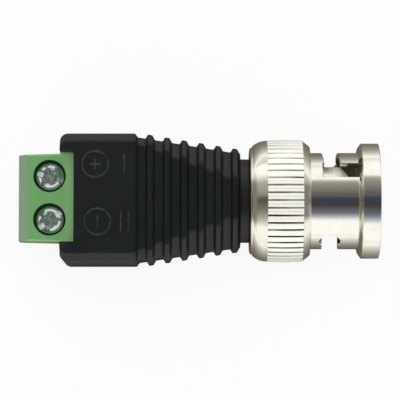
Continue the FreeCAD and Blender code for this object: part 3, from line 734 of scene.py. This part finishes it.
class Shaper(Graph):
    """A Geometry Nodes tree that pushes a mesh's points; its inputs are plain numbers and lengths."""

    def __init__(self, name, numbers=None, **lengths):
        tree = bpy.data.node_groups.new(name, "GeometryNodeTree")
        super().__init__(tree)
        for way in ("INPUT", "OUTPUT"):
            tree.interface.new_socket("Geometry", in_out=way, socket_type="NodeSocketGeometry")
        self.identifiers = {}
        self.sizes = {**(numbers or {}), **{label: length * MM for label, length in lengths.items()}}
        for label in self.sizes:
            socket = tree.interface.new_socket(label, in_out="INPUT", socket_type="NodeSocketFloat")
            self.identifiers[label] = socket.identifier
        self.given = self.node("NodeGroupInput")
        self.place = self.node("GeometryNodeInputPosition")[0]
        self.parts = self.split(self.place)

    def outwards(self, across):
        """The way out from an axis, and the distance from it; across is 1 in the directions across it."""
        flat = self.vector("MULTIPLY", self.place, across)
        return self.vector("NORMALIZE", flat), self.length(flat)

    def push(self, made, way, distance, finish):
        """Work a push along a way, and a material, into the object's mesh."""
        offset = self.node("ShaderNodeVectorMath", {"operation": "SCALE"}, {0: way, "Scale": distance})[0]
        inputs = {"Geometry": self.given["Geometry"], "Offset": offset}
        moved = self.node("GeometryNodeSetPosition", None, inputs)[0]
        real = self.node("GeometryNodeRealizeInstances", None, {0: moved})[0]
        painted = self.node("GeometryNodeSetMaterial", None, {0: real, "Material": FINISHES[finish]})[0]
        self.node("NodeGroupOutput", {"is_active_output": True}, {0: painted})
        step = made.modifiers.new(self.tree.name, "NODES")
        step.node_group = self.tree
        for label, value in self.sizes.items():
            step[self.identifiers[label]] = float(value)
        return baked(made)


def knurled(blank):
    """The grip's ridges, pressed into the nut's band: crowned lands between V grooves."""
    shaper = Shaper("knurl", {"count": KNURL_COUNT}, crown=KNURL_CROWN, groove=KNURL_GROOVE, end=KNURL_END,
                    front=KNURL_FRONT, back=KNURL_BACK, outside=CAVITY_RADIUS)
    given = shaper.given
    away = from_land_middle(shaper.parts, given["count"])
    flank = (away - 0.08).greatest(0.0).power(1.5) * given["crown"]
    groove = away.between(0.78, 0.94) * given["groove"]
    depth = shaper.parts["X"] * -1
    band = (depth - given["front"]).between(0.0, given["end"])
    band = band * (given["back"] - depth).between(0.0, given["end"])
    way, radius = shaper.outwards((0.0, 1.0, 1.0))
    outer = (radius - given["outside"]).between(0.5 * MM, 0.6 * MM)
    return shaper.push(blank, way, (flank + groove) * band * outer * -1, "nut_plate")


def ribbed(shell):
    """The grooves between the ribs, pressed into the housing's nose towards its axis."""
    shaper = Shaper("ribs", {"count": RIB_COUNT}, front=FRONT_RIB, pitch=RIB_PITCH, base=RIB_BASE,
                    top=RIB_TOP, height=RIB_HEIGHT, back=BOX_FRONT - STEP_LENGTH, step=STEP_LENGTH)
    given = shaper.given
    depth = shaper.parts["X"] * -1
    number = (depth - given["front"]) / given["pitch"]
    rib = number.nearest().greatest(0.0).least(given["count"] - 1)
    away = (number - rib).size() * given["pitch"]
    groove = away.between(given["top"] / 2, given["base"] / 2, smooth=True)
    step = (depth - given["back"]).between(0.0, given["step"], smooth=True)
    kind = {"data_type": "FLOAT_VECTOR"}
    inward = shaper.node("GeometryNodeInputNamedAttribute", kind, {"Name": "inward"})[0]
    return shaper.push(shell, inward, groove * (1 - step) * given["height"], "black_moulding")


def threaded(blank, depth, start, end):
    """A thread pressed into a round blank that stands on the Z axis, fading out at both ends."""
    shaper = Shaper("thread", pitch=THREAD_PITCH, depth=depth, start=start, end=end)
    given = shaper.given
    parts = shaper.parts
    turn = parts["Y"].arctan(parts["X"]) / FULL_TURN
    phase = (parts["Z"] / given["pitch"] - turn).fraction()
    flank = ((phase - 0.5).size() * 2).between(0.12, 0.88)
    fade = (parts["Z"] - given["start"]).between(0.0, 0.3 * MM, smooth=True)
    fade = fade * (given["end"] - parts["Z"]).between(0.0, 0.3 * MM, smooth=True)
    way, radius = shaper.outwards((1.0, 1.0, 0.0))
    outside = radius.between(0.8 * MM, MM)
    return shaper.push(blank, way, flank * fade * outside * given["depth"] * -1, "zinc_screw")


# The plug

def ramp_cutter(inner, outer, steps=28):
    """The cam ramp from the lug's slot to the lock hole, flared where it leaves the sleeve."""
    half = RAMP_WIDTH / 2
    wide = half + EDGE_FLARE
    edge = SLEEVE_RADIUS - EDGE_FLARE
    section = [(-half, inner), (half, inner), (half, edge), (wide, SLEEVE_RADIUS), (wide, outer),
               (-wide, outer), (-wide, SLEEVE_RADIUS), (-half, edge)]
    rings = []
    for step in range(steps + 1):
        share = step / steps
        rise = LOCK_DEPTH - RAMP_START
        depth = RAMP_START + rise * (share + RAMP_BOW * share * (share - 1))
        turn = math.radians(LUG_ANGLE + (LOCK_ANGLE - LUG_ANGLE) * share)
        rings.append([(along - depth, out * math.cos(turn), out * math.sin(turn)) for along, out in section])
    return lofted("ramp", rings)


def radial_cutter(name, outline, inner, shells):
    """A cutter that points out along +Y: an (x, z) outline on cylinders, with parallel walls and a flare."""
    count = len(outline)
    rings = []
    for radius, flare in [(inner, 0.0), (SLEEVE_RADIUS - EDGE_FLARE, 0.0)] + shells:
        ring = []
        for index in range(count):
            here = Vector(outline[index])
            along = (Vector(outline[(index + 1) % count]) - here).normalized()
            along += (here - Vector(outline[index - 1])).normalized()
            place = here + Vector((along.y, -along.x)).normalized() * flare
            ring.append((place.x, math.sqrt(radius ** 2 - place.y ** 2), place.y))
        rings.append(ring)
    return lofted(name, rings)


def bayonet_cutters():
    """What the two bayonet tracks take out of the nut, one cutter for each side."""
    half = LUG_WIDTH / 2
    inner = SLEEVE_BORE - 0.5
    outer = SLEEVE_RADIUS + 0.5
    across = [half * (step / 4 - 1) for step in range(9)]
    slot = [(-FLANGE_BACK - 0.1, z) for z in across] + [(-LUG_STOP, -z) for z in across]
    flares = [(SLEEVE_RADIUS, EDGE_FLARE), (FLANGE_RADIUS + 0.1, 0.14)]
    hole = circle(LOCK_RADIUS, (-LOCK_DEPTH, 0.0), 72)
    shells = [(SLEEVE_RADIUS, EDGE_FLARE), (outer, EDGE_FLARE)]
    tracks = []
    for side in (0.0, 180.0):
        entry = turned(radial_cutter("entry", slot, inner, flares), LUG_ANGLE + side)
        low = (0.1 - LUG_STOP, inner, 0.01 - half)
        groove = turned(box("groove", low, (LUG_WIDTH, LUG_GROOVE_RADIUS, half - 0.01)), LUG_ANGLE + side)
        lock = turned(radial_cutter("lock", hole, inner, shells), LOCK_ANGLE + side)
        ramp = turned(ramp_cutter(inner, outer), side)
        tracks.append(combined(entry, [groove, lock, ramp], "UNION"))
    return tracks


def knurl_band():
    """The grip's band from front to back: low ends, and a slight barrel between them."""
    middle = (KNURL_FRONT + KNURL_BACK) / 2
    half = (KNURL_BACK - KNURL_FRONT) / 2 - KNURL_END
    points = [(-KNURL_FRONT, BEVEL_END_RADIUS, 0.0)]
    for step in range(9):
        share = step / 4 - 1
        points.append((-middle - half * share, KNURL_RADIUS - KNURL_BARREL * share * share, 0.0))
    return points + [(-KNURL_BACK, SHOULDER_RADIUS, 0.0)]


def coupling_nut():
    """The bayonet nut: turned blank, knurled grip and two ramped slots."""
    flat_end = (-SHOULDER_FLAT_BACK, SHOULDER_FLAT_RADIUS)
    lip_front = -SHOULDER_BACK - LIP_GROOVE
    corners = [
        (0.0, MOUTH_BORE), (0.0, FLANGE_RADIUS, 0.12), (-0.3, FLANGE_RADIUS, 0.0),
        (0.2 - FLANGE_BACK, FLANGE_RADIUS, 0.0), (-FLANGE_BACK, FLANGE_RADIUS, 0.07),
        (-FLANGE_SLOPE_BACK, FLANGE_SLOPE_RADIUS, 0.08), (-FLANGE_SLOPE_BACK, SLEEVE_RADIUS, 0.06),
    ]
    rings_between = (-0.15 - FLANGE_SLOPE_BACK, -4.0, -5.4, -6.8, 0.2 - GRIP_FRONT)
    corners += [(x, SLEEVE_RADIUS, 0.0) for x in rings_between]
    corners += [(-GRIP_FRONT, SLEEVE_RADIUS, 0.08), (-GRIP_FRONT, GRIP_FACE_RADIUS, 0.12)]
    corners += knurl_band() + [(*flat_end, 0.0)]
    corners += arc(flat_end, (-SHOULDER_BACK, SHOULDER_END_RADIUS), SHOULDER_ROUND, 8)
    corners += [(-SHOULDER_BACK, LIP_RADIUS - LIP_GROOVE, 0.02), (lip_front, LIP_RADIUS - LIP_GROOVE, 0.02),
                (lip_front, LIP_RADIUS, 0.0)]
    corners += arc((lip_front, LIP_RADIUS), (-NUT_BACK, LIP_END_RADIUS), LIP_ROUND, 8)
    corners += [
        (-NUT_BACK, RIM_OPENING), (-RIM_INSIDE, RIM_OPENING), (-RIM_INSIDE, CAVITY_RADIUS),
        (-CAVITY_FRONT, CAVITY_RADIUS), (-CAVITY_FRONT, SLEEVE_BORE), (-MOUTH_DEPTH, SLEEVE_BORE),
        (-MOUTH_DEPTH, MOUTH_BORE),
    ]
    turns = [FULL_TURN * (land + spot) / KNURL_COUNT for land in range(KNURL_COUNT) for spot in LAND_SPOTS]
    nut = knurled(lathe("coupling_nut_look", rounded(corners, 0.05, 4), turns))
    combined(nut, bayonet_cutters())
    softened(nut, 0.0, 24.0, crease=KNURL_FRONT)
    dressed(nut, "nut", "nut_plate", "coupling_nut")


def turned_piece(node, finish, outline, steps, angle=30.0):
    """A fixed piece of the plug, turned about its axis in place of its solid."""
    made = lathe(node + "_look", outline, steps)
    dressed(softened(made, 0.0, angle), "adapter", finish, node)


def plug_body():
    """The outer contact, with a tapered nose on its ferrule."""
    corners = [
        (-3.6, 2.4, 0.1), (-3.6, 3.05, 0.35), (-4.45, 4.03, 0.6), (-5.6, 4.03, 0.0), (-10.3, 4.03),
        (-10.3, 4.25), (-BODY_FLANGE_FRONT, 4.25), (-BODY_FLANGE_FRONT, 5.92), (-12.9, 5.92), (-12.9, 4.4),
        (-NECK_FRONT, 4.4), (-NECK_FRONT, TAIL_RADIUS), (-TAIL_BACK, TAIL_RADIUS, 0.15),
        (-TAIL_BACK, 2.64, 0.1), (-INSULATOR_FRONT, 2.64), (-INSULATOR_FRONT, 2.4),
    ]
    turned_piece("plug_body", "ferrule_plate", rounded(corners, 0.05), 160)


def plug_inside():
    """The gold pin with its rounded point and solder cup, the white bush round it, and the rubber seal."""
    pin = [
        (-4.2, 0.0), (-4.2, 0.3, 0.2), (-5.0, 0.675, 0.5), (-9.6, 0.675), (-9.6, 0.9),
        (-PIN_COLLAR_FRONT, 0.9), (-PIN_COLLAR_FRONT, 1.3), (-16.2, 1.3), (-16.2, 0.9), (-24.2, 0.9),
        (-24.2, 0.37), (-22.4, 0.37), (-22.4, 0.0),
    ]
    bush = [(-INSULATOR_FRONT, 0.95), (-INSULATOR_FRONT, 2.62), (-15.7, 2.62), (-15.7, 1.35),
            (-PIN_COLLAR_FRONT, 1.35), (-PIN_COLLAR_FRONT, 0.95)]
    seal = [(-10.4, 4.3), (-10.4, 4.75), (-BODY_FLANGE_FRONT, 4.75), (-BODY_FLANGE_FRONT, 4.3)]
    turned_piece("centre_pin", "gold_plate", rounded(pin, 0.04), 64)
    turned_piece("insulator", "white_insulator", rounded(bush, 0.06), 96)
    turned_piece("gasket", "seal_rubber", rounded(seal, 0.14, 5), 128, angle=50.0)


def wave_washers():
    """The two wavy springs, copied from their solids and left unflattened, though they flatten against the
    plug body's flange as the nut is drawn forward.
    """
    names = ("wave_washer_1", "wave_washer_2")
    for name in names:
        washer = from_solid(name, 0.0)
        dressed(washer, "adapter", "spring_steel", name)
        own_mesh(washer)


# The terminal block

def terminal_block():
    """The green moulding: a stepped, bevelled block with screw wells, wire entries and clamp rooms."""
    half = BLOCK_HALF_WIDTH
    foot = FOOT_HALF_WIDTH
    section = [(-foot, BLOCK_BOTTOM), (foot, BLOCK_BOTTOM), (foot, STEP_LEVEL), (half, STEP_LEVEL),
               (half, BLOCK_TOP), (-half, BLOCK_TOP), (-half, STEP_LEVEL), (-foot, STEP_LEVEL)]
    narrow = BLOCK_BACK_HALF_WIDTH / BLOCK_HALF_WIDTH
    rings = [[(-BLOCK_BACK, y * narrow, z) for y, z in section]]
    rings += [[(-depth, y, z) for y, z in section] for depth in (HOUSING_BACK, LEDGE)]
    block = lofted("terminal_block", rings)
    ledge = box("ledge", (-HOUSING_BACK, half - 0.5, STEP_LEVEL + 0.1),
                (NOTCH_DEPTH - HOUSING_BACK, half + NOTCH_LEDGE, BLOCK_TOP - 0.1))
    combined(block, [ledge], "UNION")
    corner = BLOCK_BACK + 1.0
    bevel = [(-corner, BLOCK_TOP - BLOCK_BEVEL - 1.0), (1.0 + BLOCK_BEVEL - BLOCK_BACK, BLOCK_TOP + 1.0),
             (-corner, BLOCK_TOP + 1.0)]
    cutters = [prism("bevel", bevel, -half - 1.0, half + 1.0, "Y")]
    for y in (SCREW_Y, -SCREW_Y):
        centre = (SCREW_X, y)
        above = BLOCK_TOP + 0.5
        room = ROOM_HALF_WIDTH
        entry = ENTRY_HALF_WIDTH
        cutters += [
            box("room", (-ROOM_BACK, y - room, ROOM_BOTTOM), (0.05 - LEDGE, y + room, SHELF_BOTTOM)),
            box("entry", (-corner, y - entry, ENTRY_BOTTOM), (0.5 - ROOM_BACK, y + entry, ENTRY_TOP)),
            prism("shank", circle(THREAD_RADIUS + 0.05, centre, 64), SHELF_BOTTOM - 0.5, above, "Z"),
            prism("pocket", circle(POCKET_RADIUS, centre), POCKET_FLOOR, above, "Z"),
        ]
    combined(block, cutters)
    dressed(softened(block, 0.12, 35.0, 3), "adapter", "green_moulding", "terminal_body")


def clamp_screw(number, y):
    """A clamp screw with a cut thread, a raised rim round its dished head, its slot and a short cross arm."""
    under = HEAD_TOP - HEAD_HEIGHT
    pitch_step = 0.05
    rows = int((under - SCREW_TIP - 0.3) / pitch_step)
    shank = [(SCREW_TIP + 0.25 + pitch_step * step, THREAD_RADIUS) for step in range(rows)]
    corners = [(SCREW_TIP, 0.0), (SCREW_TIP, THREAD_RADIUS - 0.25)] + shank + [(under, THREAD_RADIUS)]
    dish = HEAD_TOP - DISH_DEPTH
    head = [
        (under, HEAD_RADIUS), (HEAD_TOP - 0.36, HEAD_RADIUS, 0.1), (HEAD_TOP, 1.24, 0.07),
        (HEAD_TOP, 1.12, 0.06), (dish, 1.0, 0.06), (dish, 0.0),
    ]
    outline = corners + rounded([(under, 0.0)] + head, 0.05)[1:]
    screw = lathe("screw_%s_look" % number, outline, 96, "Z")
    threaded(screw, THREAD_DEPTH, SCREW_TIP + 0.2, under - 0.2)
    floor = HEAD_TOP - SLOT_DEPTH
    fall = HEAD_TOP - SLOT_END_DEPTH
    end = HEAD_RADIUS + 0.1
    above = HEAD_TOP + 0.1
    side = [(-end, fall), (-0.95, floor), (0.95, floor), (end, fall), (end, above), (-end, above)]
    slot = prism("slot", side, -SLOT_HALF_WIDTH, SLOT_HALF_WIDTH, "Y")
    arm = box("arm", (-ARM_HALF_WIDTH, -ARM_REACH, floor), (ARM_HALF_WIDTH, ARM_REACH, above))
    combined(screw, [slot, arm])
    moved(turned(screw, SLOT_TURNS[number], "Z"), SCREW_X, y)
    dressed(softened(screw, 0.0, 30.0), "clamp_screw_" + number, "zinc_screw", "screw_" + number)


# The housing

def octagon(half_width, half_height, chamfer):
    """A rounded octagon, with the way each point moves when the section shrinks."""
    signs = [(1, 1), (-1, 1), (-1, -1), (1, -1)]
    points = []
    side_round = 0.3 + chamfer * 0.4
    top_round = 0.2 + chamfer * 0.45
    for sy, sz in signs:
        pair = [(sy * half_width, sz * (half_height - chamfer) + 50.0, side_round),
                (sy * (half_width - chamfer), sz * half_height + 50.0, top_round)]
        if sy * sz < 0:
            pair.reverse()
        points += [(corner, (-sy, -sz)) for corner in pair]
    steps = 5
    outline = rounded([corner for corner, _ in points], 0.0, steps)
    ways = [way for _, way in points for _ in range(steps + 1)]
    return [(y, z - 50.0, way) for (y, z), way in zip(outline, ways)]


def housing_section(depth):
    """Half width, half height and chamfer of the housing before its ribs, at a depth from the mouth."""
    back_from = HOUSING_BACK - depth
    if depth >= BOX_FRONT:
        ahead = round_end(depth - BOX_FRONT, FRONT_EDGE)
        narrow = round_end(back_from, BACK_CORNER) + ahead
        low = round_end(back_from, BACK_EDGE) + ahead
        return BOX_HALF_WIDTH - narrow, BOX_HALF_HEIGHT - low, BOX_CHAMFER
    back_rib = FRONT_RIB + RIB_PITCH * (RIB_COUNT - 1)
    share = (depth - FRONT_RIB) / (back_rib - FRONT_RIB)
    ease = max(0.0, min(1.0, (depth - BOX_FRONT + STEP_LENGTH) / STEP_LENGTH))
    nose = [front + (back - front) * share for front, back in zip(NOSE_FRONT, NOSE_BACK)]
    box_face = (BOX_HALF_WIDTH - FRONT_EDGE, BOX_HALF_HEIGHT - FRONT_EDGE, BOX_CHAMFER)
    return [size + (end - size) * ease for size, end in zip(nose, box_face)]


def round_end(distance, radius):
    """How far a rounded end has drawn in, at a distance from its face."""
    share = 1 - min(distance / radius, 1.0)
    return radius * (1 - math.sqrt(1 - share * share))


def housing_shell():
    """The outside of the box and of the nose, before its ribs and hollows."""
    shell_front = FRONT_RIB - RIB_BASE / 2
    depths = [HOUSING_BACK - BACK_CORNER * (1 - math.cos(math.pi / 2 * step / 12)) for step in range(13)]
    depths += [HOUSING_BACK - 2 - step * 0.9 for step in range(8)]
    depths += [BOX_FRONT + FRONT_EDGE * (1 - math.sin(math.pi / 2 * step / 6)) for step in range(6)]
    depths += [BOX_FRONT - STEP_LENGTH * step / 5 for step in range(5)]
    nose_back = BOX_FRONT - STEP_LENGTH
    depths += [nose_back + (shell_front - nose_back) * step / 180 for step in range(181)]
    rings = []
    ways = []
    for depth in depths:
        points = octagon(*housing_section(depth))
        rings.append([(-depth, y, z) for y, z, _ in points])
        ways += [(0.0, *way) for _, _, way in points]
    shell = lofted("housing_look", rings, merge=False)
    inward = shell.data.attributes.new("inward", "FLOAT_VECTOR", "POINT")
    inward.data.foreach_set("vector", [number for way in ways for number in way])
    return shell


def raised_marks():
    """Plain polarity marks on the box: a plus and a minus, each in a ring, with one and two bars."""
    marks = []
    top = BOX_HALF_HEIGHT + MARK_HEIGHT
    low = BOX_HALF_HEIGHT - 0.2
    half = 0.2

    def bar(x, y, along, across):
        rings = [[(x + a * (along - slope), y + b * (across - slope), z) for a, b in SQUARE_SIGNS]
                 for slope, z in ((0.0, low), (0.09, top))]
        marks.append(lofted("bar", rings))

    for x, y, plus in ((-33.3, 3.8, True), (-33.0, -2.9, False)):
        ring = [(low, 1.3), (top, 1.4), (top, 1.62), (low, 1.72)]
        marks.append(moved(lathe("ring", ring, 64, "Z"), x, y))
        bar(x, y, half, 0.8)
        if plus:
            bar(x, y, 0.8, half + 0.01)
    for x, y in ((-29.9, 3.8), (-30.3, -2.9), (-29.4, -2.9)):
        bar(x, y, half, 1.25)
    return marks


def housing():
    """The black housing: ribbed shell, neck, raised marks, and the hollows for the block and its wires."""
    shell = ribbed(housing_shell())
    corners = [(-NECK_FRONT, 0.0), (-NECK_FRONT, NECK_RADIUS, NECK_ROUND), (-FRONT_RIB, NECK_RADIUS),
               (-FRONT_RIB, 0.0)]
    neck = lathe("neck", rounded(corners, 0.0, 6), 128)
    combined(shell, [neck] + raised_marks(), "UNION")
    side = BLOCK_HALF_WIDTH + 0.05
    foot = FOOT_HALF_WIDTH + 0.05
    wall = CHAMBER_HALF
    outside = HOUSING_BACK + 1.0
    above = BOX_HALF_HEIGHT + 1.0
    combined(shell, [
        box("pocket", (-outside, -side, STEP_LEVEL - 0.05), (-LEDGE, side, BLOCK_TOP + 0.05)),
        box("foot_pocket", (-outside, -foot, BLOCK_BOTTOM), (-LEDGE, foot, STEP_LEVEL)),
        box("notch", (-outside, -side, 0.0), (NOTCH_DEPTH - HOUSING_BACK, side + NOTCH_LEDGE, above)),
        box("chamber", (-LEDGE - 0.5, -wall, -wall), (-CHAMBER_FRONT, wall, wall)),
        prism("bore", circle(TAIL_RADIUS + 0.02), -CHAMBER_FRONT - 0.5, 1.0 - NECK_FRONT),
    ])
    dressed(softened(shell, 0.05, 50.0), "adapter", "black_moulding", "housing")


# Light, floor and camera

# The studio's tones, in screen colours as nickel shows them
TONES = {
    "white": (254, 252, 240), "cream": (251, 246, 230), "pale": (222, 218, 204), "light": (203, 198, 183),
    "silver": (172, 167, 152), "grey": (147, 142, 129), "dim": (122, 118, 106), "umber": (95, 90, 87),
    "shade": (88, 81, 70), "dark": (62, 58, 57), "haze": (168, 171, 176), "steel": (104, 110, 119),
    "blue": (50, 63, 81),
}

# Where the studio's lights and gaps lie, by the angle from overhead towards +Y: level with the nut, then on
# slopes that face the housing, on its lip, and on slopes that face the mouth
LEVEL_LIGHT = {
    -180: "grey", -95: "light", -90: "white", -52: "white", -41: "haze", -33: "steel", -14: "dark",
    -8: "dark", -2: "blue", 3: "blue", 7: "umber", 12: "umber", 39: "grey", 45: "silver", 49: "white",
    79: "white", 90: "pale", 106: "silver", 180: "dim",
}
REAR_LIGHT = {
    -180: "dim", -125: "grey", -100: "light", -86: "cream", -56: "cream", -45: "light", -37: "silver",
    -21: "dim", -5: "shade", 1: "shade", 9: "grey", 32: "silver", 41: "pale", 49: "white", 71: "white",
    75: "light", 97: "cream", 110: "light", 124: "silver", 145: "dim",
}
LIP_LIGHT = {
    -180: "dim", -105: "silver", -83: "silver", -47: "dim", 34: "dim", 60: "light", 72: "light",
    78: "silver", 91: "light", 104: "silver", 139: "dim",
}
FRONT_LIGHT = {
    -121: "dim", -105: "grey", -91: "pale", -78: "cream", -56: "cream", -45: "pale", -26: "grey",
    -16: "dim", 13: "dim", 33: "silver", 72: "light", 77: "grey", 91: "silver", 180: "grey",
}
MIRRORED_SHARE = 0.03

# How far a slope turns its mirror image aside, as a share of a turn
SLOPE_LEAN = 0.044

# Painted shade on the floor, as the object's surfaces get it: darker tones nearer the object, by the distance
# from it, which counts for less on the side that lies in the shade
FLOOR_TONES = [
    (0, (100, 98, 84)), (2.5, (122, 120, 106)), (7, (158, 156, 144)), (12.5, (199, 196, 188)),
    (21, (240, 238, 230)), (40, (251, 250, 246)), (120, (252, 251, 248)),
]
SHADED_SIDE = 0.5
FLOOR_REACH = 120.0


def shown_on_nickel(red, green, blue):
    """The light whose mirror image on nickel has this screen colour, beside the mirrored share of white."""
    levels = [seen / metal for seen, metal in zip(colour(red, green, blue), NICKEL)]
    return tuple(max(0.0, (level - MIRRORED_SHARE) / (1 - MIRRORED_SHARE)) for level in levels)


def shown_rays(graph):
    """1 for what the camera sees directly, and a small share for what mirrors and glass show of it."""
    rays = graph.node("ShaderNodeLightPath")
    mirrored = rays["Is Glossy Ray"] + rays["Is Transmission Ray"]
    return rays["Is Camera Ray"].greatest(mirrored * MIRRORED_SHARE)


def studio():
    """What the metal mirrors: soft lights at both sides, a dark gap overhead, other tones at the ends."""
    world = bpy.data.worlds.new("studio")
    bpy.context.scene.world = world
    world.use_nodes = True
    sky = Graph(world.node_tree)
    parts = sky.split(sky.node("ShaderNodeTexCoord")["Generated"])
    turn = parts["Y"].arctan(parts["Z"]) / FULL_TURN + 0.5
    steep = parts["X"] * parts["X"]
    lean = parts["Y"] * steep * SLOPE_LEAN / (1 - steep).greatest(0.08).power(1.1)
    aside = turn - lean
    level, rear, lip, front = [
        sky.ramp(place, [(0.5 + angle / 360, shown_on_nickel(*TONES[tone])) for angle, tone in marks.items()])
        for place, marks in ((turn, LEVEL_LIGHT), (aside, REAR_LIGHT), (aside, LIP_LIGHT),
                             (aside, FRONT_LIGHT))
    ]
    rear = sky.mix(parts["X"].between(-0.72, -0.93), rear, lip)
    light = sky.mix(parts["X"].between(-0.02, -0.12), level, rear)
    light = sky.mix(parts["X"].between(0.75, 0.93), light, front)
    tone = sky.mix(shown_rays(sky), light, (1.0, 1.0, 1.0))
    glow = sky.node("ShaderNodeBackground", None, {"Color": tone, "Strength": 1.0})[0]
    sky.node("ShaderNodeOutputWorld", None, {0: glow})
    lamp = bpy.data.lights.new("overhead", "AREA")
    lamp.size = 0.5
    lamp.energy = 1.26
    holder = new_object("overhead", lamp)
    holder.location = (-0.02, 0.04, 0.45)
    holder.rotation_euler = (Vector((0, 0, 1)).rotation_difference(holder.location)).to_euler()
    holder.visible_glossy = False


def pale_floor():
    """The white surface that the nut and the housing's rear edge stand on."""
    half = FLOOR_HALF_SIZE * MM
    rise = Vector((math.cos(FLOOR_TILT), 0.0, -math.sin(FLOOR_TILT))) * half
    foot = Vector((-NUT_MIDDLE, 0.0, -KNURL_RADIUS)) * MM
    across = Vector((0.0, half, 0.0))
    mesh = bpy.data.meshes.new("floor")
    corners = [tuple(foot + rise * a + across * b) for a, b in SQUARE_SIGNS]
    mesh.from_pydata(corners, [], [(0, 1, 2, 3)])
    floor = new_object("floor", mesh)
    made = Finish("floor", Roughness=0.8)
    seen = shown_rays(made)
    paper = made.mix(made.noise(0.02, 2.0), (0.91, 0.91, 0.91), (0.93, 0.93, 0.93))
    beside = (made.parts["Y"].size() - BOX_HALF_WIDTH).greatest(0.0)
    beyond = ((made.parts["X"] + BLOCK_BACK / 2).size() - BLOCK_BACK / 2).greatest(0.0)
    away = beside.hypotenuse(beyond) / FLOOR_REACH
    away = away * (1 - made.parts["Y"].between(-3.0, 3.0) * (1 - SHADED_SIDE))
    # Painted shade: the floor is darker near the object in what it lights and mirrors, while the camera sees
    # it white.
    near = made.ramp(away, [(distance / FLOOR_REACH, colour(*tone)) for distance, tone in FLOOR_TONES])
    made.set(Base_Color=made.mix(seen, near, paper))
    horizon = away.between(22 / FLOOR_REACH, 40 / FLOOR_REACH) * (1 - seen)
    tone = made.mix(horizon, (1.0, 1.0, 1.0), shown_on_nickel(253, 250, 240))
    glow = made.node("ShaderNodeEmission", None, {"Color": tone, "Strength": 1.0})[0]
    inputs = {0: seen * 0.9 + horizon * 0.8, 1: made.shader[0], 2: glow}
    shown = made.node("ShaderNodeMixShader", None, inputs)[0]
    made.node("ShaderNodeOutputMaterial", {"is_active_output": True}, {0: shown})
    mesh.materials.append(made.material)


def camera():
    """The photograph's view: almost straight down on the screws, from far away."""
    lens = bpy.data.cameras.new("camera")
    lens.lens = CAMERA_LENS
    lens.sensor_width = 36.0
    lens.clip_end = 10.0
    holder = new_object("camera", lens)
    back = Vector((0.0, -math.sin(CAMERA_TILT), math.cos(CAMERA_TILT)))
    holder.location = (Vector(CAMERA_TARGET) + back * CAMERA_DISTANCE) * MM
    holder.rotation_euler = (-back).to_track_quat("-Z", "Y").to_euler()
    bpy.context.scene.camera = holder


coupling_nut()
plug_body()
plug_inside()
wave_washers()
terminal_block()
for side_number, side_y in (("1", SCREW_Y), ("2", -SCREW_Y)):
    clamp_screw(side_number, side_y)
    cage = from_solid("cage_" + side_number, 0.09)
    dressed(cage, "clamp_cage_" + side_number, "clamp_metal", "cage_" + side_number)
    contact = from_solid("contact_" + side_number, 0.05)
    dressed(contact, "adapter", "tinned_contact", "contact_" + side_number)
housing()

# The solids that show as they are
CARRIED_OVER = {
    "rear_insulator": "white_insulator",
    "retaining_washer": "spring_steel",
    "thrust_washer": "spring_steel",
    "signal_link": "bare_wire",
    "ground_link": "bare_wire",
    "link_tubing": "wire_tubing",
}
for node, finish_name in CARRIED_OVER.items():
    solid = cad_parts[node]
    solid.data.materials.clear()
    solid.data.materials.append(FINISHES[finish_name])

studio()
pale_floor()
camera()
bpy.context.scene.view_settings.view_transform = "Standard"
